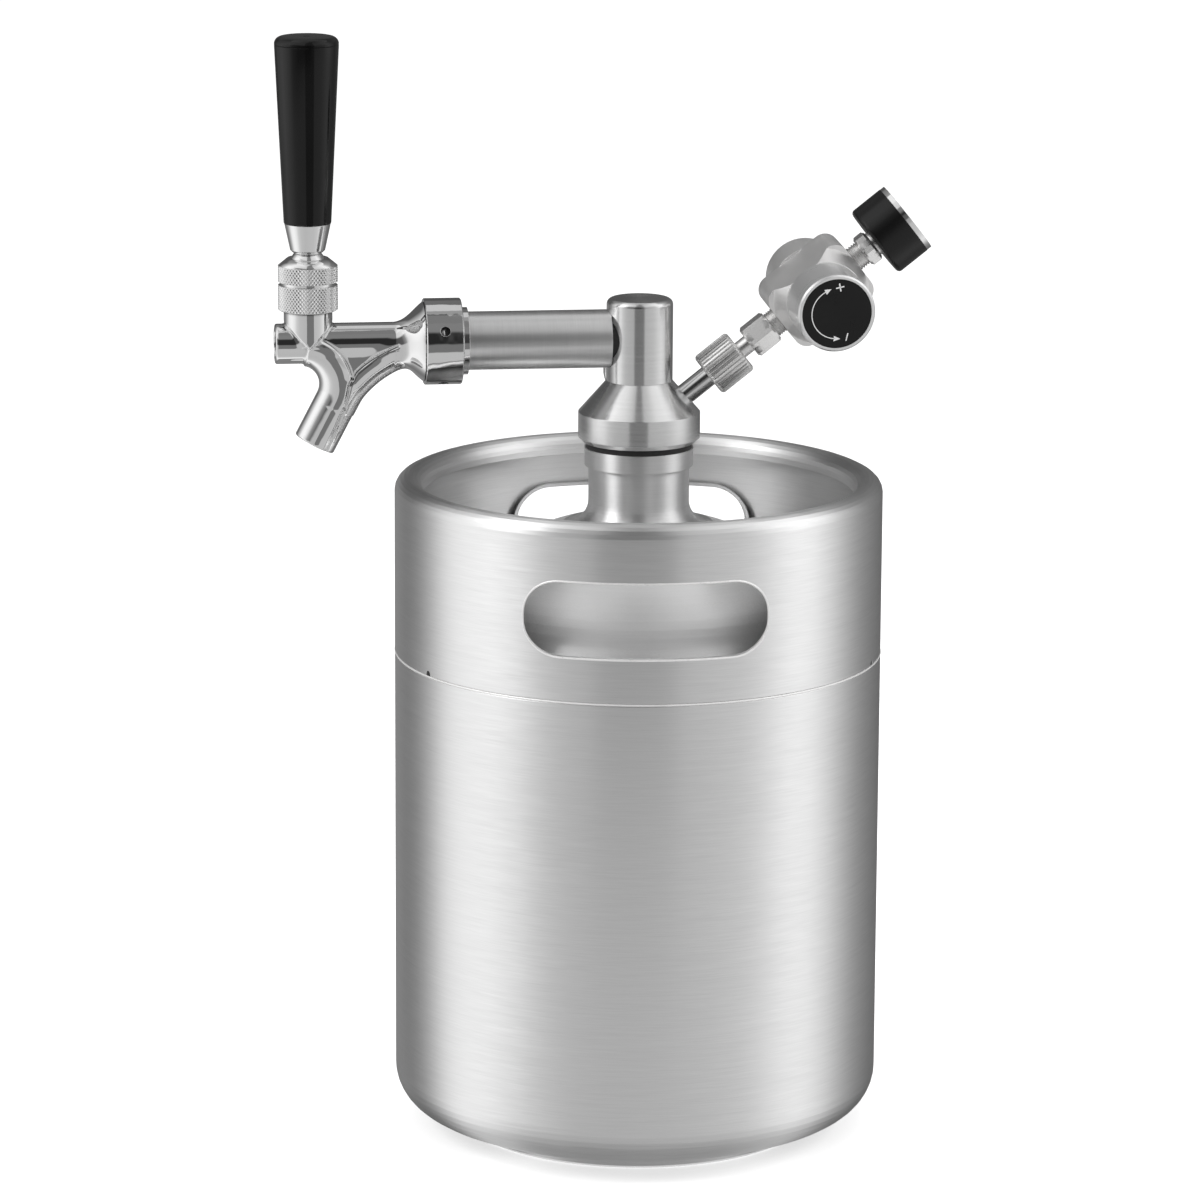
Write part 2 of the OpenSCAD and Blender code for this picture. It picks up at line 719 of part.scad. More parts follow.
module tower() {
    color("lightgray") difference() {
        rotate_extrude() polygon(concat(
            [[0, tower_z], [tower_r, tower_z]],
            arc([tower_r - tower_round, tower_top - tower_round], tower_round, 0, 90),
            [[0, tower_top]]
        ));
        translate([0, 0, tower_z - over]) cylinder(r = tube_nut_r + fit, h = tube_seal_z - tower_z + over);
        translate([0, 0, tower_z]) cylinder(r = tube_nut_r, h = tube_seal_z + tube_seal_h - tower_z);
        translate([0, 0, tower_z]) cylinder(r = tube_r + fit, h = shank_z - tower_z);
        along_shank() cylinder(r = beer_r, h = washer_at);
        along_shank(thread_near) cylinder(r = shank_thread_r + fit, h = washer_at);
        along_shank(washer_at) cylinder(r = washer_r + fit, h = washer_w);
        along_shank(shank_near - fit) cylinder(r = shank_r + fit, h = tower_r);
        relief_pocket();
    }
}

module dip_tube() {
    color("silver") difference() {
        translate([0, 0, tube_foot]) tube(tube_r, tube_r - tube_wall, tube_top - tube_foot);
        translate([0, 0, tube_foot]) rotate([0, 45, 0]) translate([0, 0, -tube_r - over])
            cube([4 * tube_r, 4 * tube_r, 2 * tube_r], center = true);
    }
}

module dip_tube_seal() {
    color("black") translate([0, 0, tube_seal_z]) tube(tube_nut_r - fit, tube_r + fit, tube_seal_h);
}

module dip_tube_nut() {
    color("silver") difference() {
        union() {
            translate([0, 0, tube_nut_z]) cylinder(r = tube_nut_r, h = tube_seal_z - tube_nut_z);
            translate([0, 0, tube_nut_z]) hex_bar(2 * tube_nut_r, tube_nut_h);
        }
        translate([0, 0, tube_nut_z - over])
            cylinder(r = tube_r + fit, h = tube_seal_z - tube_nut_z + 2 * over);
    }
}

// Welded tail with the union's thread on its end
module gas_tail() {
    color("silver") along_gas(-tail_root) difference() {
        union() {
            cylinder(r = tail_r, h = tail_root + tail_l + over);
            translate([0, 0, tail_root + tail_l + run]) cylinder(r = union_thread_r, h = tail_grip - run);
        }
        translate([0, 0, -over]) cylinder(r = gas_r, h = tail_root + tail_end + 2 * over);
    }
}

module shank() {
    color("silver") along_shank() difference() {
        union() {
            translate([0, 0, thread_near + fit]) cylinder(r = shank_thread_r, h = shank_near - thread_near);
            translate([0, 0, shank_near]) cylinder(r = shank_r, h = shank_end - shank_near);
            translate([0, 0, shank_flange_at]) cylinder(r = nut_thread_r - run, h = shank_flange_w);
        }
        translate([0, 0, -over]) cylinder(r = beer_r, h = shank_end + 2 * over);
        translate([0, 0, ring_at - fit]) tube(shank_r + over, shank_r - ring_groove, ring_w + 2 * fit);
    }
}

module shank_washer() {
    color("black") along_shank(washer_at) tube(washer_r, shank_thread_r + fit, washer_w);
}

module shank_ring() {
    color("silver") along_shank(ring_at) tube(ring_r, shank_r - ring_groove + fit, ring_w);
}

module coupling_nut() {
    bevel = nut_play;
    color("silver") along_shank() difference() {
        rotate_extrude() polygon([
            [shank_r + run, nut_at], [nut_r - bevel, nut_at], [nut_r, nut_at + bevel],
            [nut_r, nut_end - bevel], [nut_r - bevel, nut_end], [nut_thread_r + fit, nut_end],
            [nut_thread_r + fit, nut_at + nut_wall], [shank_r + run, nut_at + nut_wall]
        ]);
        for (i = [0:3]) rotate([0, 0, 90 + spanner_turn + 90 * i]) translate([0, 0, (nut_at + nut_end) / 2])
            rotate([0, 90, 0]) cylinder(r = spanner_hole_r, h = nut_r + over);
    }
}

module coupling_gasket() {
    color("black") along_shank(shank_end) tube(nut_thread_r - run, seat_bore_r - seal_lip, coupling_gasket_w);
}

// Flat web that fills the corner between barrel, spout and rear flank
module tap_web() {
    linear_extrude(2 * web_half, center = true) polygon(concat(
        arc(bend_mid, bend_mid_r, -spout_lean, bend_end),
        [[-flare_end, 0]],
        arc(flank_mid, flank_r + web_half / 2, flank_end, 180 - spout_lean)
    ));
}

// Faucet: barrel and flare, V-rooted stem, bent spout, rear flank and web, with the ways for the beer
module tap_body() {
    flare_share = [[0, 1], [0.13, 0.86], [0.38, 0.52], [0.58, 0.26], [0.78, 0.09], [1, 0]];
    v_w = stem_r + over;
    edge_r = thread_depth;
    color("gainsboro") difference() {
        union() {
            along_shank() rotate_extrude() polygon(concat(
                [[0, tap_at], [nut_thread_r, tap_at], [nut_thread_r, flare_at]],
                [for (p = flare_share) [barrel_r + (flare_r - barrel_r) * p[1], flare_at + flare_l * p[0]]],
                arc([barrel_r - edge_r, barrel_end - edge_r], edge_r, 0, 90, 3),
                [[0, barrel_end]]
            ));
            intersection() {
                up_stem(-stem_tip - over) cylinder(r = stem_r, h = stem_tip + over + stem_h);
                side_plane() translate([-stem_at, -stem_tip]) linear_extrude(2 * v_w, center = true)
                    polygon([[0, 0], [v_w, v_w], [v_w, 3 * v_w], [-v_w, 3 * v_w], [-v_w, v_w]]);
            }
            up_stem() cylinder(r = stem_thread_r, h = stem_top);
            side_plane() {
                tap_web();
                translate(bend_mid) rotate([0, 0, -spout_lean]) rotate_extrude(angle = spout_lean + bend_end)
                    translate([bend_mid_r, 0]) circle(spout_r);
                translate(flank_mid) rotate([0, 0, flank_end]) rotate_extrude(angle = 180 - spout_lean - flank_end)
                    translate([flank_mid_r, 0]) circle(flank_tube_r);
                translate(spout_root + spout_dir * (bend_t - spout_lap)) rotate([90, 0, 0])
                    rotate([0, -spout_lean, 0]) cylinder(r = spout_r, h = spout_l - bend_t + spout_lap);
            }
        }
        along_shank() rotate_extrude() polygon([
            [0, tap_at - over], [seat_bore_r, tap_at - over], [seat_bore_r, seat_at],
            [barrel_bore_r, seat_at + seat_cone_l], [barrel_bore_r, barrel_end + over], [0, barrel_end + over]
        ]);
        side_plane() translate(spout_root) rotate([90, 0, 0]) rotate([0, -spout_lean, 0]) {
            cylinder(r = spout_way_r, h = spout_l);
            translate([0, 0, spout_l - spout_bore_l]) cylinder(r = spout_bore_r, h = spout_bore_l + over);
        }
        up_stem(stem_h - over) cylinder(r = stem_bore_r, h = stem_thread_l + 2 * over);
        up_stem() translate([-tip_r - slot_play, -tip_r - slot_play, 0])
            cube([stem_thread_r + tip_r, 2 * (tip_r + slot_play), stem_h]);
    }
}

module bonnet() {
    bevel = band_groove;
    low_top = stem_h + band_low_h;
    color("silver") up_stem() difference() {
        rotate_extrude() polygon([
            [0, stem_h], [bonnet_r - bevel, stem_h], [bonnet_r, stem_h + bevel],
            [bonnet_r, low_top], [bonnet_r - band_groove_depth, low_top],
            [bonnet_r - band_groove_depth, low_top + band_groove], [bonnet_r, low_top + band_groove],
            [bonnet_r, band_top], [bonnet_top_r, bonnet_top], [0, bonnet_top]
        ]);
        translate([0, 0, stem_h - over]) cylinder(r = stem_thread_r + fit, h = stem_thread_l + 2 * over);
        translate([0, 0, stem_top]) cylinder(r = pocket_r, h = ball_z - roof_drop - stem_top);
        translate([0, 0, ball_z]) sphere(ball_r + run);
    }
}

module ball_seat() {
    color("white") up_stem() difference() {
        translate([0, 0, stem_top]) cylinder(r = pocket_r - fit, h = ball_z - seat_drop - stem_top);
        translate([0, 0, stem_top - over]) cylinder(r = seat_hole_r, h = ball_z - stem_top);
        translate([0, 0, ball_z]) sphere(ball_r + run);
    }
}

module friction_washer() {
    color("black") up_stem() difference() {
        translate([0, 0, ball_z - seat_drop]) cylinder(r = pocket_r - fit, h = seat_drop - roof_drop);
        translate([0, 0, ball_z]) sphere(ball_r + run);
    }
}

module tap_lever() {
    color("silver") up_stem() {
        translate([0, 0, ball_z]) sphere(ball_r);
        translate([0, 0, ball_z]) cylinder(r = lever_neck_r, h = ferrule_rise);
        translate([0, 0, ball_z]) cylinder(r = stud_r, h = ferrule_rise + ferrule_h + stud_l);
        translate([0, 0, barrel_bore_r])
            cylinder(r1 = arm_foot_r, r2 = arm_top_r, h = ball_z - ball_r / 2 - barrel_bore_r);
        cylinder(r = arm_foot_r, h = barrel_bore_r);
        sphere(tip_r);
    }
}

module handle_ferrule() {
    color("silver") up_stem(ferrule_z) difference() {
        rotate_extrude() polygon([
            [0, 0], [ferrule_foot_r - ferrule_bevel, 0], [ferrule_foot_r, ferrule_bevel],
            [ferrule_top_r, ferrule_h], [0, ferrule_h]
        ]);
        translate([0, 0, -over]) cylinder(r = stud_r + fit, h = ferrule_h + 2 * over);
    }
}

module handle_grip() {
    color([0.03, 0.03, 0.03]) up_stem(grip_z) difference() {
        rotate_extrude() polygon(concat(
            [[0, 0], [grip_foot_r, 0]],
            arc([grip_top_r - grip_round, grip_l - grip_round], grip_round, 0, 90),
            [[0, grip_l]]
        ));
        translate([0, 0, -over]) cylinder(r = stud_r + fit, h = stud_l + 2 * over);
    }
}

// Valve shaft: a rod with a shoulder for the washer and a guide that the lever's tip drives
module valve_shaft() {
    step_w = 1.2;
    step_r = rod_r + step_w;
    tail = seal_back - shaft_nut_w;
    color("silver") difference() {
        along_shank() {
            translate([0, 0, tail]) cylinder(r = rod_r - thread_depth, h = seal_face - tail + step_w);
            translate([0, 0, seal_face]) cylinder(r = step_r, h = step_w);
            translate([0, 0, seal_face]) cylinder(r = rod_r, h = guide_at - seal_face + over);
            translate([0, 0, guide_at]) cylinder(r = guide_r, h = guide_l);
        }
        up_stem() translate([-tip_r - slot_play, -tip_r - slot_play / 2, -tip_r - slot_play / 2])
            cube([2 * (tip_r + slot_play), 2 * tip_r + slot_play, guide_r + tip_r + over]);
    }
}

module shaft_seal() {
    color("black") along_shank(seal_back) tube(seal_r, rod_r - thread_depth + fit, seal_w);
}

module shaft_nut() {
    color("silver") along_shank(seal_back - shaft_nut_w) difference() {
        cylinder(r = shaft_nut_r, h = shaft_nut_w, $fn = 6);
        translate([0, 0, -over]) cylinder(r = rod_r - thread_depth + fit, h = shaft_nut_w + 2 * over);
    }
}

module relief_body() {
    color("silver") along_relief(relief_near) difference() {
        cylinder(r = relief_r, h = relief_l);
        translate([0, 0, -over]) cylinder(r = relief_way_r, h = relief_wall + 2 * over);
        translate([0, 0, relief_wall]) cylinder(r = relief_bore_r, h = relief_l - relief_wall - relief_lid);
        translate([0, 0, relief_l / 2]) cylinder(r = relief_stem_r + run, h = relief_l);
        for (i = [0:3]) rotate([0, 0, 45 + 90 * i]) translate([0, 0, relief_l - relief_lid - 2 * vent_r])
            rotate([0, 90, 0]) cylinder(r = vent_r, h = relief_r + over);
    }
}

module relief_disc() {
    color("black") along_relief(relief_disc_at) cylinder(r = relief_bore_r - run, h = relief_disc_w);
}

module relief_stem() {
    color("silver") along_relief(relief_collar_at) {
        cylinder(r = relief_bore_r - run, h = relief_collar_w);
        cylinder(r = relief_stem_r, h = relief_end + relief_cap_gap + relief_cap_l / 2 - relief_collar_at);
    }
}

module relief_spring() {
    color("silver") along_relief(relief_spring_at)
        tube(relief_bore_r - 2 * run, relief_stem_r + 2 * run, relief_spring_l);
}

module relief_cap() {
    color("silver") along_relief(relief_end + relief_cap_gap) difference() {
        rotate_extrude() polygon(concat(
            [[0, 0], [relief_cap_r - nut_bevel / 2, 0], [relief_cap_r, nut_bevel / 2]],
            arc([relief_cap_r - nut_bevel, relief_cap_l - nut_bevel], nut_bevel, 0, 90),
            [[0, relief_cap_l]]
        ));
        translate([0, 0, -over]) cylinder(r = relief_stem_r + fit, h = relief_cap_l / 2 + over + fit);
    }
}

// Knurled nut: a fluted bar with bevelled ends, bored for the tail's thread and the nipple's neck
module union_nut() {
    flutes = union_flutes;
    bevel = nut_bevel;
    color("silver") along_gas(tail_l) difference() {
        intersection() {
            translate([0, 0, -over]) linear_extrude(union_l + 2 * over) polygon([for (i = [0:2 * flutes - 1])
                (union_r - union_flute_depth * (i % 2)) * [cos(180 * i / flutes), sin(180 * i / flutes)]]);
            rotate_extrude() polygon([
                [0, 0], [union_r - bevel, 0], [union_r + bevel, 2 * bevel],
                [union_r + bevel, union_l - 2 * bevel], [union_r - bevel, union_l], [0, union_l]
            ]);
        }
        translate([0, 0, -over]) cylinder(r = union_thread_r + run, h = union_shelf - tail_l + over);
        translate([0, 0, -over]) cylinder(r = nipple_neck_r + run, h = union_l + 2 * over);
    }
}

module outlet_nipple() {
    color("silver") along_gas(nipple_at) difference() {
        union() {
            cylinder(r = union_thread_r - run, h = nipple_flange_w);
            cylinder(r = nipple_neck_r, h = hex_end - nipple_at);
            translate([0, 0, hex_at - nipple_at]) hex_bar(nipple_af, nipple_hex_l);
            translate([0, 0, hex_end - nipple_at]) cylinder(r = nipple_thread_r, h = nipple_thread_gap + nipple_thread_l);
        }
        translate([0, 0, -over]) cylinder(r = gas_r, h = block_at + nipple_thread_l - nipple_at + 2 * over);
    }
}

module nipple_seal() {
    color("black") along_gas(tail_end) tube(union_thread_r - seal_lip, gas_r + seal_lip / 2, nipple_seal_w);
}

// Regulator block: a milled bar with a turned front boss, a rear boss and its four threaded ways
module regulator_body() {
    color("silver") along_knob() difference() {
        union() {
            translate([0, 0, -block_d / 2]) linear_extrude(block_d) round_rect(block_w, block_l, block_corner_r);
            intersection() {
                translate([0, 0, block_d / 2 - over])
                    cylinder(r1 = front_boss_r, r2 = front_face_r, h = front_boss_l + over);
                translate([0, 0, block_d / 2 - over]) linear_extrude(front_boss_l + 2 * over)
                    square([block_w, block_l], center = true);
            }
            translate([0, 0, rear_face]) cylinder(r = rear_boss_r, h = rear_boss_l + over);
        }
        translate([0, 0, housing_floor]) cylinder(r = housing_r, h = front_face - housing_floor + over);
        translate([0, 0, rear_face - over]) cylinder(r = socket_r, h = socket_l + over);
        translate([0, 0, socket_floor]) cylinder(r = socket_groove_r, h = socket_groove);
        translate([0, 0, socket_floor + socket_groove - over]) cylinder(r = pin_r + fit, h = pin_root + over);
        translate([0, -block_l / 2 - over, 0]) rotate([-90, 0, 0])
            cylinder(r = nipple_thread_r + fit, h = nipple_thread_l + over);
        translate([0, block_l / 2 + over, 0]) rotate([90, 0, 0])
            cylinder(r = gauge_thread_r + fit, h = gauge_thread_l + over);
    }
}

module closing_ring() {
    color("silver") along_knob(front_face - closing_ring_l) tube(housing_r - fit, screw_r + run, closing_ring_l);
}

module diaphragm() {
    color("black") along_knob(housing_floor) cylinder(r = housing_r - fit, h = diaphragm_w);
}

module regulator_spring() {
    color("silver") along_knob(housing_floor + diaphragm_w)
        tube(spring_r, spring_r - spring_wire, plate_at - housing_floor - diaphragm_w);
}

module spring_plate() {
    color("silver") along_knob(plate_at) cylinder(r = housing_r - run, h = plate_w);
}

module adjusting_screw() {
    screw_at = plate_at + plate_w;
    color("silver") along_knob(screw_at) cylinder(r = screw_r, h = knob_at + screw_grip - screw_at);
}

module regulator_knob() {
    bevel = 0.6;
    color("silver") along_knob(knob_at) difference() {
        rotate_extrude() polygon([
            [0, 0], [knob_r - bevel, 0], [knob_r, bevel],
            [knob_r, knob_l - bevel], [knob_r - bevel, knob_l], [0, knob_l]
        ]);
        translate([0, 0, -over]) cylinder(r = screw_r + fit, h = screw_grip + over + fit);
        translate([0, 0, knob_l - label_w]) cylinder(r = label_r + fit, h = label_w + over);
    }
}

module knob_label() {
    color([0.05, 0.05, 0.05]) along_knob(knob_at + knob_l - label_w) cylinder(r = label_r, h = label_w);
}

module piercing_pin() {
    tip = 0.6;
    color("silver") along_knob(socket_floor + tip) {
        translate([0, 0, tip]) cylinder(r = pin_r, h = socket_groove + pin_root - 2 * tip);
        cylinder(r1 = pin_r / 3, r2 = pin_r, h = tip);
    }
}

module socket_seal() {
    color("black") along_knob(socket_floor + fit) tube(socket_groove_r - fit, pin_r + seal_lip, socket_groove - fit);
}

module gauge_stem() {
    color("silver") along_gas(block_end - gauge_thread_l) {
        cylinder(r = gauge_thread_r, h = gauge_thread_l + gauge_thread_gap);
        translate([0, 0, gauge_thread_l + gauge_thread_gap]) hex_bar(gauge_af, gauge_hex_l);
        cylinder(r = gauge_thread_r / 2, h = case_at + 2 * case_wall - block_end + gauge_thread_l);
        translate([0, 0, gauge_thread_l + gauge_thread_gap])
            cylinder(r = gauge_thread_r, h = gauge_hex_l + gauge_collar_l);
    }
}

module gauge_case() {
    inner_r = case_r - case_wall;
    color([0.06, 0.06, 0.06]) along_gas(case_at) difference() {
        rotate_extrude() polygon(concat(
            [[0, 0]],
            arc([case_r - case_round, case_round], case_round, -90, 0),
            [[case_r, case_l], [inner_r, case_l], [inner_r, dial_depth], [inner_r - dial_ledge, dial_depth],
             [inner_r - dial_ledge, case_wall], [0, case_wall]]
        ));
        translate([0, 0, -over]) cylinder(r = gauge_thread_r / 2 + fit, h = case_wall + 2 * over);
    }
}

module gauge_dial() {
    color("white") along_gas(dial_at) tube(case_r - case_wall - fit, pointer_pin_r + fit, dial_w);
}

module pointer_pin() {
    foot = case_at + 2 * case_wall;
    color("silver") along_gas(foot) cylinder(r = pointer_pin_r, h = pointer_at + 2 * pointer_w - foot);
}

module gauge_pointer() {
    needle_w = pointer_hub_r;
    color("black") along_gas(pointer_at) difference() {
        union() {
            cylinder(r = pointer_hub_r, h = pointer_w);
            linear_extrude(pointer_w) polygon([[-needle_w / 2, -2 * needle_w], [needle_w / 2, -2 * needle_w],
                [needle_w / 6, pointer_l], [-needle_w / 6, pointer_l]]);
        }
        translate([0, 0, -over]) cylinder(r = pointer_pin_r + fit, h = pointer_w + 2 * over);
    }
}

module gauge_lens() {
    color([0.8, 0.9, 1, 0.4]) along_gas(case_end - lens_w) cylinder(r = case_r - case_wall - fit, h = lens_w);
}

module gauge_bezel() {
    bezel_r = case_r - 2 * fit;
    color("silver") along_gas(case_end) tube(bezel_r, bezel_r - bezel_w, bezel_l);
}

keg_shell();
keg_shoulder();
keg_neck();
chime();
collar_gasket();
collar();
tower();
dip_tube();
dip_tube_seal();
dip_tube_nut();
gas_tail();
shank();
shank_washer();
shank_ring();
coupling_nut();
coupling_gasket();
tap_body();
bonnet();
ball_seat();
friction_washer();
tap_lever();
handle_ferrule();
handle_grip();
valve_shaft();
shaft_seal();
shaft_nut();
relief_body();
relief_cap();
relief_stem();
relief_disc();
relief_spring();
union_nut();
outlet_nipple();
nipple_seal();
regulator_body();
closing_ring();
diaphragm();
regulator_spring();
spring_plate();
adjusting_screw();
regulator_knob();
knob_label();
piercing_pin();
socket_seal();
gauge_stem();
gauge_case();
gauge_dial();
gauge_pointer();
pointer_pin();
gauge_lens();
gauge_bezel();
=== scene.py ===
"""Looks for the mini keg beer dispenser: the studio, the materials and the pieces that dress the frame.

Pieces are drawn in millimetres and degrees, in the solids' own frames. The camera, the studio and the
lengths in the materials are in metres.
"""
import math

import bmesh
import bpy
import numpy as np
from mathutils import Euler, Matrix, Vector

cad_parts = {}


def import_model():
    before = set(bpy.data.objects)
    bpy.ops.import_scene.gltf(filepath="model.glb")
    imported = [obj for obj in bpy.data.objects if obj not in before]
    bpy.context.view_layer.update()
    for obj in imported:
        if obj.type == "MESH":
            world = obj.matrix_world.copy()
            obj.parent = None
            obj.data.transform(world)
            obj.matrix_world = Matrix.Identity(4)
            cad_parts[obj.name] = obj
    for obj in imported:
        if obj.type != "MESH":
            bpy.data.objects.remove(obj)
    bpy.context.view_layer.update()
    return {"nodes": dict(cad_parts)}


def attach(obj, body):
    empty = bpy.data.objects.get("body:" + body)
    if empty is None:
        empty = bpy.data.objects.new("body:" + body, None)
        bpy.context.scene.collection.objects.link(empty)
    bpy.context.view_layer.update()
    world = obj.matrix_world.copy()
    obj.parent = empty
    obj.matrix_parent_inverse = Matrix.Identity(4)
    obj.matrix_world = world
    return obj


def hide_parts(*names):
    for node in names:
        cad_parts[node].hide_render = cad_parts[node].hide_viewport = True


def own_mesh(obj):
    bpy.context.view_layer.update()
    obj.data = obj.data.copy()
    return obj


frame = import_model()
NODES = frame["nodes"]
MM = 0.001


def link(name, data):
    """A new object in the scene."""
    obj = bpy.data.objects.new(name, data)
    bpy.context.scene.collection.objects.link(obj)
    return obj


def mm(x, y, z):
    """A place given in millimetres."""
    return Vector((x * MM, y * MM, z * MM))


def shift(x, y, z):
    return Matrix.Translation(mm(x, y, z))


def turned(degrees, axis):
    return Matrix.Rotation(math.radians(degrees), 4, axis)


def polar(r, angle):
    """The x and y of a point at a radius and an angle in radians."""
    return r * math.cos(angle), r * math.sin(angle)


def whole_turn(steps):
    """The angles of one turn in even steps, in radians."""
    return [2 * math.pi * i / steps for i in range(steps)]


# Camera at the photograph's viewing angle
VIEW_AZ, VIEW_EL, VIEW_ROLL = -7.0, 12.8, 0.30
CAMERA_AT = (-0.0131, -1.989, 0.6378)
camera_data = bpy.data.cameras.new("camera")
camera_data.sensor_width = 36.0
camera_data.lens = 177.0
camera_data.clip_start, camera_data.clip_end = 0.05, 60.0
camera = link("camera", camera_data)
camera.matrix_world = (turned(VIEW_AZ, "Z") @ Matrix.Translation(CAMERA_AT) @ turned(90 - VIEW_EL, "X")
                       @ turned(VIEW_ROLL, "Z"))
bpy.context.scene.camera = camera

# Stations and axes of the object, as in the solids
SHANK_Z, STEM_AT = 278.0, 113.6
GAS_RISE, GAS_H, GAS_START = 38.4, 245.5, 20.4
BLOCK_AT, BLOCK_L, REG_ROLL = 40.9, 32.7, 6.5
RELIEF_Z, SPRING_AT, SPRING_L, PULL = 262.0, 14.4, 4.6, 2.5

# Local +Z up the lever's axis, from the barrel's axis
STEM_FRAME = shift(-STEM_AT, 0, SHANK_Z)
# Local +Z outward along the shank, local +X up
SHANK_FRAME = shift(0, 0, SHANK_Z) @ turned(-90, "Y")
# Local +Z up the gas axis
GAS_FRAME = shift(0, 0, GAS_H) @ turned(90 - GAS_RISE, "Y") @ shift(0, 0, GAS_START)
# Local +Z forward along the knob's axis, local +Y up the gas axis
KNOB_FRAME = GAS_FRAME @ shift(0, 0, BLOCK_AT + BLOCK_L / 2) @ turned(REG_ROLL, "Z") @ turned(90, "X")


# Materials
UPRIGHT = Euler((0, 0, 0))
# Depths of the bump: turned lines and grain, moulded skin, rubber, and the ripple of a buffed casting
FINE_RELIEF, SKIN_RELIEF, RUBBER_RELIEF, RIPPLE_RELIEF = 0.00004, 0.00005, 0.00008, 0.0004


class Graph:
    """The node tree of a material or a world, with short calls to fill it."""

    def __init__(self, owner, clear=False):
        owner.use_nodes = True
        self.owner, self.tree = owner, owner.node_tree
        if clear:
            self.tree.nodes.clear()
        self.shader = self.tree.nodes.get("Principled BSDF")

    def add(self, kind, inputs=None, **props):
        n = self.tree.nodes.new(kind)
        for k, v in props.items():
            setattr(n, k, v)
        for k, v in (inputs or {}).items():
            self.put(n, k, v)
        return n

    def put(self, n, key, value):
        if isinstance(value, bpy.types.NodeSocket):
            self.tree.links.new(value, n.inputs[key])
        else:
            n.inputs[key].default_value = value

    def set(self, **values):
        """Fills the shader's own sockets, named with _ for a space."""
        for k, v in values.items():
            self.put(self.shader, k.replace("_", " "), v)

    def math(self, op, *values, clamp=False):
        return self.add("ShaderNodeMath", dict(enumerate(values)), operation=op, use_clamp=clamp).outputs[0]

    def total(self, *parts):
        """The sum of values, each given alone or as (value, factor)."""
        parts = [self.math("MULTIPLY", *p) if isinstance(p, tuple) else p for p in parts]
        out = parts[0]
        for p in parts[1:]:
            out = self.math("ADD", out, p)
        return out

    def vec(self, op, *values, out=0):
        return self.add("ShaderNodeVectorMath", dict(enumerate(values)), operation=op).outputs[out]

    def mix(self, factor, a, b):
        """A colour between a and b; sockets 0, 6 and 7 are the ones that a colour mix uses."""
        return self.add("ShaderNodeMix", {0: factor, 6: a, 7: b}, data_type="RGBA").outputs[2]

    def span(self, value, lo, hi, a=0.0, b=1.0, kind="LINEAR"):
        """The value's range lo to hi carried over to a to b."""
        inputs = {"Value": value, "From Min": lo, "From Max": hi, "To Min": a, "To Max": b}
        return self.add("ShaderNodeMapRange", inputs, interpolation_type=kind).outputs[0]

    def noise(self, across, along, detail, rough, euler=UPRIGHT):
        """Noise in object coordinates: so many waves to the metre across and along the euler's Z."""
        place = self.add("ShaderNodeTexCoord").outputs["Object"]
        inputs = {"Vector": place, "Rotation": euler, "Scale": (1 / across, 1 / across, 1 / along)}
        waves = self.add("ShaderNodeMapping", inputs, vector_type="TEXTURE").outputs[0]
        inputs = {"Vector": waves, "Scale": 1.0, "Detail": detail, "Roughness": rough}
        return self.add("ShaderNodeTexNoise", inputs).outputs["Fac"]

    def bump(self, height, strength, distance, normal=None):
        inputs = {"Height": height, "Strength": strength, "Distance": distance}
        if normal is not None:
            inputs["Normal"] = normal
        return self.add("ShaderNodeBump", inputs).outputs[0]

    def soft_edge(self, radius):
        """The normal with every edge rounded by the radius, or None where the radius is nought."""
        return self.add("ShaderNodeBevel", {"Radius": radius}, samples=4).outputs[0] if radius else None

    def open_sky(self, distance):
        """How open a place is, seen within the distance: one in the open, nought in a closed corner."""
        return self.add("ShaderNodeAmbientOcclusion", {"Distance": distance}, samples=8).outputs["AO"]

    def seen(self):
        """One for rays seen directly, in a reflection or through glass; nought for light on the object."""
        path = self.add("ShaderNodeLightPath").outputs
        direct = self.math("MAXIMUM", path["Is Camera Ray"], path["Is Glossy Ray"])
        return self.math("MAXIMUM", direct, path["Is Transmission Ray"])


def material(name, clear=False):
    return Graph(bpy.data.materials.new(name), clear)


def grey(v, warm=0.0):
    """A grey; warm raises its red and lowers its blue by that share."""
    return (v * (1 + warm), v, v * (1 - warm), 1.0)


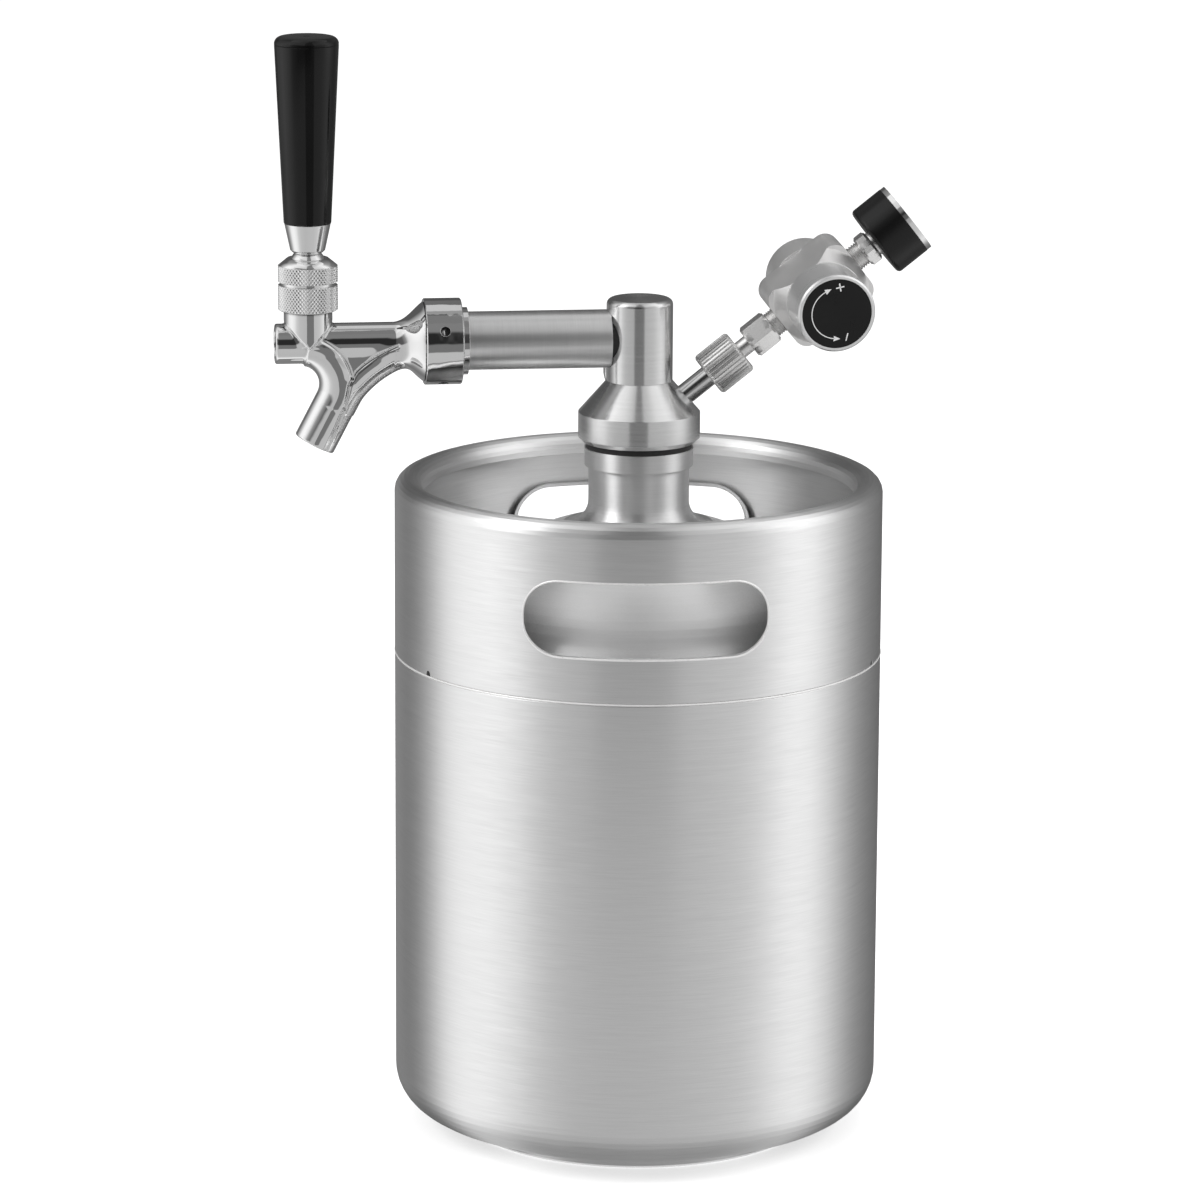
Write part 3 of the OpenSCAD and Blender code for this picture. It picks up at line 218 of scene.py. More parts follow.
def turned_metal(name, base, rough, aniso, *, line, length, depth, spread, edge=0.0, metal=1.0, euler=UPRIGHT,
                 centre=(0, 0, 0), spun=False, hollow=0.0):
    """Metal brushed or turned round an axis: fine lines run round it and stretch each highlight along it.

    line and length are one line's width and run, depth its bump and spread its share of the tone; edge
    rounds the corners, and hollow is how far the painted shade in a corner reaches.
    """
    corner_sky, painted_corner_shade, facet_lean = (0.20, 0.58), 0.40, (0.05, 0.10)
    g = material(name)
    fine = g.noise(1 / length, 1 / line, 3.0, 0.6, euler)
    broad = g.noise(0.5 / length, 0.22 / line, 2.0, 0.5, euler)
    cloud = g.noise(14, 9, 3.0, 0.55, euler)
    lines = g.total((fine, 0.65), (broad, 0.35))
    dark, bright = grey(base * (1 - spread / 2)), grey(min(1, base * (1 + spread / 2)))
    tone = g.mix(g.span(g.total(lines, (cloud, 0.25)), 0.40, 0.85), dark, bright)
    # The corner's darkness is painted into the base colour, not cast by the lamps
    if hollow:
        # Painted shade: the tone darkens where little is open within hollow, as less light finds its way into
        # a corner, such as the one between the chime and the shoulder
        tone = g.mix(g.span(g.open_sky(hollow), *corner_sky), grey(base * painted_corner_shade), tone)
    g.set(Metallic=metal, Base_Color=tone, Anisotropic=aniso)
    g.set(Roughness=g.span(g.total(lines, (cloud, 0.20)), 0.35, 0.95, rough - 0.05, rough + 0.06))
    normal = g.soft_edge(edge)
    here = g.add("ShaderNodeNewGeometry").outputs
    axis = tuple(euler.to_matrix().col[2])
    around = g.vec("CROSS_PRODUCT", axis, g.vec("SUBTRACT", here["Position"], centre))
    if spun:
        # On a spun wall a small lean of the normal round the axis comes from the mesh's facets, so it goes
        normal = normal or here["Normal"]
        unit = g.vec("NORMALIZE", around)
        lean = g.vec("DOT_PRODUCT", normal, unit, out="Value")
        facet = g.math("MULTIPLY", lean, g.span(g.math("ABSOLUTE", lean), *facet_lean, 1.0, 0.0))
        off = g.add("ShaderNodeVectorMath", {0: unit, "Scale": facet}, operation="SCALE").outputs[0]
        normal = g.vec("NORMALIZE", g.vec("SUBTRACT", normal, off))
    g.set(Normal=g.bump(lines, depth, FINE_RELIEF, normal))
    g.set(Tangent=g.vec("CROSS_PRODUCT", here["Normal"], around))
    return g.owner


def polished_metal(name, base, rough, edge=0.0, wave=0.0, wipes=0.0, crease=0.0):
    """Polished chrome: near mirror, with faint buffing haze and, on castings, a slow ripple.

    wave and wipes are the shares of the ripple and of the buffing marks in the bump.
    """
    crease_sky, crease_shade_tone, bump = (0.55, 0.93), 0.03, 0.25
    g = material(name)
    haze = g.noise(160, 160, 3.0, 0.6)
    wipe = g.noise(900, 3200, 2.0, 0.5, Euler((0.4, 0.3, 0)))
    slow = g.noise(220, 220, 1.0, 0.4)
    tone = g.mix(haze, grey(base * 0.97), grey(base))
    if crease:
        # Painted shade: the tone turns near black in the creases, where little is open within the crease
        # distance
        tone = g.mix(g.span(g.open_sky(crease), *crease_sky), grey(crease_shade_tone), tone)
    g.set(Metallic=1.0, Base_Color=tone)
    g.set(Roughness=g.span(g.total(haze, (wipe, 0.35)), 0.4, 1.0, rough * 0.6, rough * 1.7))
    g.set(Normal=g.bump(g.total((slow, wave), (wipe, wipes)), bump, RIPPLE_RELIEF, g.soft_edge(edge)))
    return g.owner


def cast_satin(name, base, rough, grain, edge, metal=1.0):
    """Satin plate over a milled body: an even sparkle of very fine grain, a warm cast and softened edges."""
    warm = 0.006
    g = material(name)
    fine = g.noise(5200, 5200, 2.0, 0.6)
    cloud = g.noise(130, 130, 3.0, 0.6)
    tone = g.mix(g.total((fine, 0.5), (cloud, 0.5)), grey(base * 0.90, warm), grey(min(1, base * 1.06), warm))
    g.set(Metallic=metal, Base_Color=tone)
    g.set(Roughness=g.span(g.total(fine, cloud), 0.7, 1.4, rough - 0.05, rough + 0.07))
    g.set(Normal=g.bump(fine, grain, FINE_RELIEF, g.soft_edge(edge)))
    return g.owner


def black_plastic(name, value, rough, grain, shine):
    """Moulded plastic or lacquer: clouds in its tone and roughness, and a fine grain where it has one."""
    g = material(name)
    fine = g.noise(2600, 2600, 2.0, 0.6)
    cloud = g.noise(90, 60, 3.0, 0.6)
    g.set(Base_Color=g.mix(cloud, grey(value), grey(value * 1.9)), Specular_IOR_Level=shine)
    g.set(Roughness=g.span(g.total((fine, 0.4), cloud), 0.4, 1.1, rough * 0.8, rough * 1.3))
    g.set(Normal=g.bump(fine, grain, SKIN_RELIEF))
    return g.owner


def rubber(name, value):
    """Dull rubber with a fine, uneven skin."""
    g = material(name)
    fine = g.noise(3000, 3000, 3.0, 0.65)
    g.set(Base_Color=g.mix(fine, grey(value * 0.8), grey(value * 1.6)), Specular_IOR_Level=0.35)
    g.set(Roughness=g.span(fine, 0.3, 0.8, 0.48, 0.72), Normal=g.bump(fine, 0.25, RUBBER_RELIEF))
    return g.owner


def plain_plastic(name, color, rough, glow=0.0):
    """Moulded or printed plastic; glow is the share of light that spreads below its skin."""
    g = material(name)
    fine = g.noise(1800, 1800, 2.0, 0.6)
    dark = tuple(c * 0.93 for c in color[:3]) + (1.0,)
    g.set(Base_Color=g.mix(fine, dark, color), Subsurface_Weight=glow)
    g.set(Roughness=g.span(fine, 0.3, 0.7, rough - 0.05, rough + 0.07))
    g.set(Normal=g.bump(fine, 0.08, SKIN_RELIEF))
    return g.owner


def lens_glass(name):
    """Clear plastic glass with faint smears."""
    g = material(name)
    smear = g.noise(260, 260, 3.0, 0.6)
    g.set(Base_Color=(0.97, 0.985, 0.99, 1.0), Roughness=g.span(smear, 0.3, 0.8, 0.0, 0.05))
    g.set(Transmission_Weight=1.0, IOR=1.2)
    return g.owner


KEG_LINES = {"line": 0.00026, "length": 0.011, "depth": 0.24, "spread": 0.12, "edge": 0.0004, "spun": True}
FINE_LINES = {"depth": 0.14, "spread": 0.10, "edge": 0.0003}
FAINT_LINES = {"depth": 0.06, "spread": 0.06}
KEG = turned_metal("keg_brushed", 0.80, 0.36, 0.80, **KEG_LINES)
# The chime and the inside of the shell darken in their corners and hollows: painted shade
CHIME = turned_metal("chime_brushed", 0.80, 0.36, 0.80, hollow=0.006, **KEG_LINES)
KEG_INNER = turned_metal("keg_inner_polish", 0.80, 0.36, 0.30, line=0.0005, length=0.03, metal=0.86,
                         spun=True, hollow=0.05, **FAINT_LINES)
NECK = turned_metal("neck_turned", 0.78, 0.42, 0.90, line=0.00025, length=0.012, **FINE_LINES)
SATIN = turned_metal("turned_satin", 0.74, 0.20, 0.60, line=0.00022, length=0.012, **FINE_LINES)
SHANK = turned_metal("shank_brushed", 0.74, 0.32, 0.35, line=0.00025, length=0.010,
                     euler=SHANK_FRAME.to_euler(), centre=(0, 0, SHANK_Z * MM), **FINE_LINES)
TAIL = turned_metal("tail_turned", 0.72, 0.16, 0.50, line=0.0003, length=0.008, depth=0.10, spread=0.08,
                    edge=0.0002, euler=GAS_FRAME.to_euler(), centre=(0, 0, GAS_H * MM))
TUBE = turned_metal("tube_drawn", 0.72, 0.22, 0.40, line=0.0012, length=0.004, **FAINT_LINES)
KNOB = turned_metal("knob_turned", 0.80, 0.30, 0.30, line=0.0004, length=0.02, edge=0.0003, metal=0.82,
                    euler=KNOB_FRAME.to_euler(), centre=tuple(KNOB_FRAME.translation), **FAINT_LINES)
# The casting's chrome darkens in its creases: painted shade
CHROME = polished_metal("chrome_cast", 0.84, 0.035, wave=0.30, crease=0.0013)
CHROME_TURNED = polished_metal("chrome_turned", 0.84, 0.045, edge=0.00025, wipes=0.02)
CHROME_NUT = polished_metal("chrome_nut", 0.84, 0.045, edge=0.00025, wave=0.8)
NICKEL = cast_satin("nickel_satin", 0.84, 0.34, 0.20, 0.0003, metal=0.84)
NICKEL_BRIGHT = cast_satin("nickel_bright", 0.80, 0.25, 0.08, 0.00025, metal=0.92)
# Painted highlight: a pale, half-metal white for the beads along the seam and the slot edges
BEAD_HIGHLIGHT = cast_satin("bead_painted_highlight", 0.95, 0.30, 0.0, 0.0, metal=0.45)
WIRE = cast_satin("wire_steel", 0.55, 0.22, 0.05, 0.0)
HANDLE = black_plastic("handle_gloss", 0.003, 0.10, 0.0, 0.30)
CASE = black_plastic("gauge_case_black", 0.004, 0.20, 0.02, 0.30)
LABEL = black_plastic("label_black", 0.006, 0.30, 0.04, 0.20)
RUBBER = rubber("black_rubber", 0.02)
NYLON = plain_plastic("white_nylon", (0.80, 0.79, 0.74, 1.0), 0.5, 0.1)
DIAL = plain_plastic("dial_card", (0.86, 0.86, 0.84, 1.0), 0.55)
INK = plain_plastic("black_ink", grey(0.012), 0.5)
POINTER = plain_plastic("pointer_black", grey(0.02), 0.4)
WHITE_INK = plain_plastic("white_ink", grey(0.88), 0.5)
GLASS = lens_glass("lens_clear")

LOOKS = {
    "keg_shell": KEG, "keg_shoulder": KEG_INNER, "keg_neck": NECK, "chime": CHIME, "collar_gasket": RUBBER,
    "collar": SATIN, "tower": SATIN, "dip_tube": TUBE, "dip_tube_seal": RUBBER, "dip_tube_nut": SATIN,
    "gas_tail": TAIL, "shank": SHANK, "shank_washer": RUBBER, "shank_ring": CHROME_TURNED,
    "coupling_nut": CHROME_NUT, "coupling_gasket": RUBBER, "tap_body": CHROME, "bonnet": CHROME_TURNED,
    "ball_seat": NYLON, "friction_washer": NYLON, "tap_lever": CHROME_TURNED, "handle_ferrule": CHROME_TURNED,
    "handle_grip": HANDLE, "valve_shaft": SATIN, "shaft_seal": RUBBER, "shaft_nut": NICKEL,
    "relief_body": SATIN, "relief_cap": SATIN, "relief_stem": SATIN, "relief_disc": RUBBER,
    "relief_spring": WIRE, "union_nut": NICKEL_BRIGHT, "outlet_nipple": NICKEL_BRIGHT, "nipple_seal": RUBBER,
    "regulator_body": NICKEL, "closing_ring": NICKEL, "diaphragm": RUBBER, "regulator_spring": WIRE,
    "spring_plate": NICKEL, "adjusting_screw": NICKEL, "regulator_knob": KNOB, "knob_label": LABEL,
    "piercing_pin": WIRE, "socket_seal": RUBBER, "gauge_stem": NICKEL_BRIGHT, "gauge_case": CASE,
    "gauge_dial": DIAL, "gauge_pointer": POINTER, "pointer_pin": WIRE, "gauge_lens": GLASS,
    "gauge_bezel": CHROME_TURNED,
}
for name, obj in NODES.items():
    obj.data.materials.clear()
    obj.data.materials.append(LOOKS[name])


# Making pieces
def piece(name, verts, faces, body, mat, place=None, sharp=None, replaces=(), flat=False):
    """A mesh piece in its own frame, set in place, with its material, on its body.

    Its faces are smooth unless it is flat; edges over the sharp angle stay sharp.
    """
    mesh = bpy.data.meshes.new(name)
    mesh.from_pydata([tuple(v) for v in verts], [], faces)
    mesh.validate()
    if place is not None:
        mesh.transform(place)
    mesh.materials.append(mat)
    obj = link(name, mesh)
    bm = bmesh.new()
    bm.from_mesh(mesh)
    bmesh.ops.recalc_face_normals(bm, faces=bm.faces)
    bm.to_mesh(mesh)
    bm.free()
    if not flat:
        mesh.polygons.foreach_set("use_smooth", [True] * len(mesh.polygons))
        if sharp:
            mesh.set_sharp_from_angle(angle=math.radians(sharp))
    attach(obj, body)
    if replaces:
        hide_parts(*replaces)
    return obj


def net(rows, count, closed=True):
    """Quads between rows of vertices, each row a ring of count; closed joins the last row to the first."""
    faces = []
    for i in range(rows if closed else rows - 1):
        j = (i + 1) % rows
        for k in range(count):
            m = (k + 1) % count
            faces.append((i * count + k, j * count + k, j * count + m, i * count + m))
    return faces


def lathe(name, profile, body, mat, place, sharp, node, steps=96, limit=None):
    """A piece in place of the node: a closed profile of (radius, height) turned about local Z.

    limit(angle, radius, height) trims the radius.
    """
    verts = []
    for a in whole_turn(steps):
        for r, z in profile:
            x, y = polar(limit(a, r, z) if limit else r, a)
            verts.append(mm(x, y, z))
    piece(name, verts, net(steps, len(profile)), body, mat, place, sharp, (node,))


def corner_radius(flats):
    """Radius to the corners of a hexagon of that width across the flats."""
    return flats / 2 / math.cos(math.radians(30))


def hexagon(flats, low, high):
    """A limit of the radius to a hexagon bar between two heights."""
    inner_r = 4.8    # the bore, seats and threads beside the hexagon are all narrower than this

    def limit(a, r, z):
        if r <= inner_r or not low < z < high:
            return r
        return min(r, flats / 2 / math.cos(math.radians((math.degrees(a) + 30) % 60 - 30)))
    return limit


# Share of the pitch, and share of the depth that is cut away there
THREAD_FORM = ((0.08, 1.0), (0.42, 0.0), (0.58, 0.0), (0.92, 1.0))


def thread(r, z0, z1, pitch, depth):
    """Profile points of a row of thread crests from z0 to z1."""
    count = max(1, round((z1 - z0) / pitch))
    step = (z1 - z0) / count
    return [(r - depth * cut, z0 + (i + share) * step) for i in range(count) for share, cut in THREAD_FORM]


# Bonnet: two bands of diamond knurling with a groove between them and a cone on top
def bonnet():
    low_z, groove_z0, groove_z1, top_z, roof_z = 11.6, 20.45, 21.25, 27.0, 29.5
    foot_r, r, groove_r, steps, depth = 8.4, 10.2, 9.2, 104, 0.30
    verts, faces = [], []

    def ring(radius, z, parity=None):
        """A ring of vertices; with a parity, every second one of them is the bottom of the knurl."""
        first = len(verts)
        for i, a in enumerate(whole_turn(steps)):
            cut = depth if parity is not None and (i + parity) % 2 else 0
            verts.append(mm(*polar(radius - cut, a), z))
        return first

    def join(a, b, parity=None):
        """Faces between two rings: quads, or triangles whose diagonals take turns to make diamonds."""
        for i in range(steps):
            j = (i + 1) % steps
            if parity is None:
                faces.append((a + i, a + j, b + j, b + i))
            elif (i + parity) % 2:
                faces.extend([(a + i, a + j, b + i), (a + j, b + j, b + i)])
            else:
                faces.extend([(a + i, a + j, b + j), (a + i, b + j, b + i)])

    def plain(last, rows):
        for radius, z in rows:
            now = ring(radius, z)
            join(last, now)
            last = now
        return last

    def knurl(last, z0, z1, rows):
        for k in range(rows + 1):
            now = ring(r, z0 + (z1 - z0) * k / rows, k)
            join(last, now, k or None)
            last = now
        return last

    last = plain(ring(foot_r, low_z), [(r - 0.55, low_z)])
    last = knurl(last, low_z + 0.35, groove_z0 - 0.2, 11)
    last = plain(last, [(groove_r, groove_z0), (groove_r, groove_z1)])
    last = knurl(last, groove_z1 + 0.2, top_z - 0.1, 7)
    plain(last, [(r - 0.12, top_z), (7.0, roof_z), (6.0, roof_z), (5.8, roof_z - 0.3), (6.1, roof_z - 2.0)])
    obj = piece("bonnet_knurled", verts, faces, "head", CHROME_TURNED, STEM_FRAME, replaces=("bonnet",),
                flat=True)
    # The cone and the foot are smooth, and the knurl keeps the flat faces of its diamonds
    for p in obj.data.polygons:
        z = p.center.z / MM - SHANK_Z
        p.use_smooth = z > top_z or z < low_z + 0.3


bonnet()


# Tap: the solids' stations as a distance field, so that the joins get the soft fillets of a polished casting
def surface_net(field, origin, step):
    """Vertices and quads of the field's zero surface, one vertex in each cell that the surface passes."""
    shape = tuple(n - 1 for n in field.shape)
    total, count = np.zeros(shape + (3,)), np.zeros(shape)

    def at_corner(c):
        return field[c[0]:shape[0] + c[0], c[1]:shape[1] + c[1], c[2]:shape[2] + c[2]]

    for p in np.ndindex(2, 2, 2):
        for axis in range(3):
            if p[axis]:
                continue
            u, v = at_corner(p), at_corner(tuple(n + (k == axis) for k, n in enumerate(p)))
            hit = (u < 0) != (v < 0)
            t = u[hit] / (u[hit] - v[hit])
            crossing = np.tile(np.array(p, float), (len(t), 1))
            crossing[:, axis] += t
            total[hit] += crossing
            count += hit
    active = count > 0
    index = np.full(shape, -1)
    index[active] = np.arange(active.sum())
    verts = (np.argwhere(active) + total[active] / count[active][:, None]) * step + np.array(origin)
    faces = []
    for axis in range(3):
        a, b = [k for k in range(3) if k != axis]
        body = np.moveaxis(field < 0, (axis, a, b), (0, 1, 2))
        grid = np.moveaxis(index, (axis, a, b), (0, 1, 2))
        change = body[:-1, 1:-1, 1:-1] != body[1:, 1:-1, 1:-1]
        i, j, k = np.nonzero(change)
        quad = np.stack([grid[i, j, k], grid[i, j + 1, k], grid[i, j + 1, k + 1], grid[i, j, k + 1]], 1)
        outward = body[:-1, 1:-1, 1:-1][i, j, k] ^ (axis == 1)
        quad[~outward] = quad[~outward][:, ::-1]
        faces.append(quad)
    return verts, np.concatenate(faces)


def join_soft(p, q, soft):
    """The union of two distance fields, with a fillet."""
    r = np.maximum(soft - np.abs(p - q), 0) / soft
    return np.minimum(p, q) - r * r * soft / 4


def both_soft(p, q, soft):
    """What two distance fields share, with a rounded edge."""
    return -join_soft(-p, -q, soft)


def on_arc(mid, radius, start, stop, count):
    """Points in the side plane along an arc between two angles in degrees."""
    angles = np.radians(np.linspace(start, stop, count))
    return [mid + radius * np.array((math.cos(a), math.sin(a))) for a in angles]


def line_gap(u, v, points):
    """Distance in the side plane to a line through the points, and whether it goes round the place."""
    far, inside = np.full(u.shape, 1e3), np.zeros(u.shape, bool)
    for p, q in zip(points[:-1], points[1:]):
        e = q - p
        k = np.clip(((u - p[0]) * e[0] + (v - p[1]) * e[1]) / (e @ e), 0, 1)
        far = np.minimum(far, np.hypot(u - p[0] - k * e[0], v - p[1] - k * e[1]))
        if e[1]:
            inside ^= ((p[1] > v) != (q[1] > v)) & (u < p[0] + e[0] * (v - p[1]) / e[1])
    return far, inside


def arc_tube(x, y, h, mid, radius, tube, start, stop):
    """Distance to a tube bent along an arc in the side plane, between two angles in degrees."""
    u, v = x - mid[0], h - mid[1]
    ring = np.hypot(np.hypot(u, v) - radius, y) - tube
    centre = math.radians((start + stop) / 2)
    off = np.abs((np.arctan2(v, u) - centre + math.pi) % (2 * math.pi) - math.pi)
    return np.maximum(ring, (off - math.radians((stop - start) / 2)) * np.hypot(u, v))


def tap():
    """The casting; x runs to the keg, y across and h up from the barrel's axis, and s is -x."""
    start, end, barrel_r, face_r, over = 67.85, 125.0, 6.9, 12.4, 0.1
    flare_at, flare_l, flare_r, flare_slope = 74.45, 9.8, 13.6, 0.80
    flare = np.polyfit([0, 0.13, 0.25, 0.38, 0.48, 0.58, 0.68, 0.78, 0.9, 1],
                       [1, 0.86, 0.69, 0.52, 0.38, 0.26, 0.165, 0.09, 0.03, 0], 5)
    stem_r, stem_h, thread_r, thread_top, tip, vee_slope = 8.3, 11.6, 7.6, 17.0, 0.8, 0.7071
    spout_at, spout_r, spout_l, lean = 93.7, 7.25, 39.1, math.radians(27.5)
    bend_t, bend_r, bend_turn = 22.89, 13.65, (-27.5, 78)
    flank_t, flank_off, flank_r, flank_tube, flank_turn = 23.9, 40.1, 39.6, 6.6, (104, 152.5)
    web_half, crease_w, crease_depth, crease_from = 6.2, 0.85, 0.42, 2.5
    # Fillets where the forms join, and rounded edges
    flank_soft, spout_soft, web_soft, stem_soft = 2.4, 1.4, 0.7, 1.0
    end_soft, lip_soft, vee_soft, fine_soft = 0.8, 0.5, 0.5, 0.2
    # Bores: the shaft's as s and radius, the beer's in the web and in the spout's end, the lever's, its slot
    shaft_bore = [75, 76.96, 77.05, 80.55, 130], [8.2, 8.2, 8.2, 5.2, 5.2]
    beer_r, beer_end_r, beer_end_l = 3.8, 5.4, 15
    lever_r, lever_l, slot_half, slot_front, far_off = 6.4, 1, 2.85, 7.35, -9.0
    step, low, high = 0.38, np.array((-126.5, -15.4, -38.6)), np.array((-66.6, 15.5, 18.2))

    down = np.array((-math.sin(lean), -math.cos(lean)))
    side = np.array((-math.cos(lean), math.sin(lean)))
    root = np.array((-spout_at, 0.0))
    bend_mid = root + down * bend_t + side * bend_r
    flank_mid = root + down * flank_t - side * flank_off

    # Outline of the web, and the two lines along which it meets the round spout and the flank
    rim = on_arc(bend_mid, bend_r, *bend_turn, 14) + [np.array((-flare_at - flare_l, 0.0))]
    rim += on_arc(flank_mid, flank_r, 112, 152.5, 9)
    past_spout, past_flank = (math.sqrt(r ** 2 - web_half ** 2) for r in (spout_r, flank_tube))
    run_out = (15.0, -0.5), (18.5, -1.6), (23.0, -2.7), (29.0, -3.4), (42.0, -3.8)
    creases = [on_arc(bend_mid, bend_r + past_spout, 8, 66, 12),
               on_arc(flank_mid, flank_r + past_flank, 110, 133, 12)]
    creases[1] += [root + down * a + side * b for a, b in run_out]

    def field(x, y, h):
        """The casting's signed distance, negative inside the metal."""
        s, around = -x, np.hypot(y, h)
        stem_x = x + STEM_AT
        across = np.hypot(stem_x, y)
        t = (x - root[0]) * down[0] + (h - root[1]) * down[1]
        spout_axis = np.hypot((x - root[0]) * side[0] + (h - root[1]) * side[1], y)

        share = np.polyval(flare, np.clip((s - flare_at) / flare_l, 0, 1)) * (s < flare_at + flare_l)
        slope = np.where((s > flare_at) & (s < flare_at + flare_l), flare_slope, 1.0)
        barrel = (around - (barrel_r + (flare_r - barrel_r) * share)) * slope
        barrel = np.where(s < flare_at - over, around - face_r, barrel)
        barrel = both_soft(both_soft(barrel, s - end, end_soft), start - s, fine_soft)
        stem = both_soft(across - stem_r, h - stem_h, fine_soft)
        stem = both_soft(stem, (np.abs(stem_x) - (h + tip)) * vee_slope, vee_soft)
        stem = np.minimum(stem, np.maximum(np.maximum(across - thread_r, h - thread_top), -h))
        spout = np.maximum(spout_axis - spout_r, bend_t - t)
        spout = np.minimum(spout, arc_tube(x, y, h, bend_mid, bend_r, spout_r, *bend_turn))
        far, inside = line_gap(x, h, rim + rim[:1])
        web = np.maximum(np.abs(y) - web_half, np.where(inside, -far, far))

        flank = arc_tube(x, y, h, flank_mid, flank_r, flank_tube, *flank_turn)
        body = join_soft(barrel, flank, flank_soft)
        body = join_soft(body, spout, spout_soft)
        body = join_soft(body, web, web_soft)
        # Polishing leaves a fine groove where the web and the flank meet the round spout
        for points in creases:
            gap = np.clip(line_gap(x, h, points)[0] / crease_w, 0, 1)
            body = body + crease_depth * (1 - gap * gap * (3 - 2 * gap)) * (np.abs(y) > crease_from)
        body = join_soft(body, stem, stem_soft)
        body = both_soft(body, t - spout_l, lip_soft)
        body = np.maximum(body, np.interp(s, *shaft_bore) - around)
        bore_r = np.where(t > spout_l - beer_end_l, beer_end_r, beer_r)
        body = np.maximum(body, np.where(t > 0, bore_r - spout_axis, far_off))
        body = np.maximum(body, np.where(h > stem_h - lever_l, lever_r - across, far_off))
        slot = np.maximum(np.abs(y) - slot_half, np.maximum(-slot_half - stem_x, stem_x - slot_front))
        return np.maximum(body, np.where((h > 0) & (h < stem_h), -slot, far_off))

    cells = np.meshgrid(*[np.arange(low[k], high[k], step) for k in range(3)], indexing="ij")
    verts, faces = surface_net(field(*cells), low, step)
    # The corners are drawn on to the true surface, so that reflections in the chrome run smoothly
    probe, least_slope, most_move = 0.02, 0.3, 0.12
    for _ in range(2):
        value = field(*verts.T)
        slope = [field(*(verts + probe * e).T) - field(*(verts - probe * e).T) for e in np.eye(3)]
        slope = np.stack(slope, 1) / (2 * probe)
        move = value[:, None] * slope / np.maximum((slope ** 2).sum(1), least_slope)[:, None]
        verts = verts - np.clip(move, -most_move, most_move)
    verts[:, 2] += SHANK_Z
    piece("tap_casting", verts * MM, [tuple(int(i) for i in f) for f in faces], "head", CHROME,
          replaces=("tap_body",))


tap()


# Handle with its fine line under the top edge and the small dimple in the middle of the top
def handle():
    low, high, low_r, high_r, bore_r = 41.3, 104.8, 8.1, 10.95, 4.55
    foot, crown, line_w, line_down, bore_top = 0.35, 2.5, 0.16, 2.7, 6
    line = high - line_down

    def wall(z):
        return low_r + (high_r - low_r) * (z - low) / (high - crown - low)

    rows = [(bore_r, low), (low_r - foot, low), (low_r, low + foot)]
    rows += [(wall(z), z) for z in (low + 12, low + 26, low + 40, low + 52, line - 0.4)]
    rows += [(wall(line) - cut, line + z) for cut, z in ((0.02, -line_w), (line_w, 0), (0.02, line_w))]
    for a in range(10, 91, 10):
        x, z = polar(crown, math.radians(a))
        rows.append((high_r - crown + x, high - crown + z))
    dimple = (4.0, 0), (1.1, 0), (0.8, 0.25), (0.35, 0.4), (0.01, 0.42)
    rows += [(r, high - depth) for r, depth in dimple + ((0.01, bore_top), (bore_r, bore_top))]
    lathe("handle_moulded", rows, "lever", HANDLE, STEM_FRAME, 32, "handle_grip")


handle()


# Nipple and gauge stem with their threads and bevelled hexagons
def nipple():
    flats, hex_z, end_z, bevel_r = 11, 27.9, 37.7, 5.3
    rows = [(1.5, 18.4), (5.5, 18.4), (5.5, 20.3), (3.1, 20.4), (3.1, hex_z), (bevel_r, hex_z)]
    rows += [(corner_radius(flats), z) for z in (28.7, 30.5, 35.0, 36.9)]
    rows += [(bevel_r, end_z), (4.3, end_z)] + thread(4.75, end_z, 41.0, 0.83, 0.42)
    rows += [(4.7, 41.05), (4.7, 46.6), (1.5, 46.6)]
    lathe("nipple_threaded", rows, "regulator", NICKEL_BRIGHT, GAS_FRAME, 25, "outlet_nipple",
          limit=hexagon(flats, hex_z - 0.1, end_z + 0.05))


nipple()


def gauge_stem():
    flats, z, bevel_r, bore_r = 10.6, 73.6, 5.1, 0.8
    rows = [(bore_r, z - 5), (4.5, z - 5), (4.5, z - 0.1)] + thread(4.55, z, z + 3.9, 0.95, 0.5)
    rows += [(4.0, z + 3.95), (bevel_r, z + 4)] + [(corner_radius(flats), z + up) for up in (4.7, 6, 7.8)]
    rows += [(bevel_r, z + 8.5), (4.55, z + 8.5), (4.55, z + 9.3), (2.2, z + 9.3), (2.2, z + 11.6)]
    rows += [(bore_r, z + 11.6)]
    lathe("gauge_stem_threaded", rows, "regulator", NICKEL_BRIGHT, GAS_FRAME, 25, "gauge_stem",
          limit=hexagon(flats, z + 3.96, z + 8.55))


gauge_stem()


# Union nut with wide ridges between narrow flutes that run out on its bevelled ends
def union():
    flutes, depth, narrow, top_r, wall_r, fade_r, fade = 36, 0.42, 2.5, 8.0, 7.5, 7.4, 0.5
    rows = [(5.68, 10.0), (6.9, 10.0), (7.62, 10.4), (7.95, 10.9), (top_r, 11.3), (top_r, 22.7), (7.95, 23.1),
            (7.62, 23.6), (6.9, 24.0), (3.18, 24.0), (3.18, 20.4), (5.68, 20.4)]

    def limit(a, r, z):
        if r < wall_r:
            return r
        groove = max(0.0, -math.cos(a * flutes)) ** narrow
        return r - depth * groove * min(1.0, (r - fade_r) / fade)

    lathe("union_nut_fluted", rows, "union", NICKEL_BRIGHT, GAS_FRAME, 28, "union_nut",
          steps=flutes * 8, limit=limit)


union()


# Thin beads of painted highlight: a pale wire in the seam between the body and the chime, and one round each
# hand slot's edge, stand in for the highlights along these real edges
def bead(name, path, wire):
    """A round wire bent along a closed path on an upright cylinder."""
    steps, verts = 8, []
    for i, p in enumerate(path):
        along = (path[(i + 1) % len(path)] - path[i - 1]).normalized()
        out = Vector((p.x, p.y, 0)).normalized()
        up = along.cross(out)
        verts += [(p + wire * (math.cos(a) * out + math.sin(a) * up)) * MM for a in whole_turn(steps)]
    piece(name, verts, net(len(path), steps), "keg", BEAD_HIGHLIGHT)


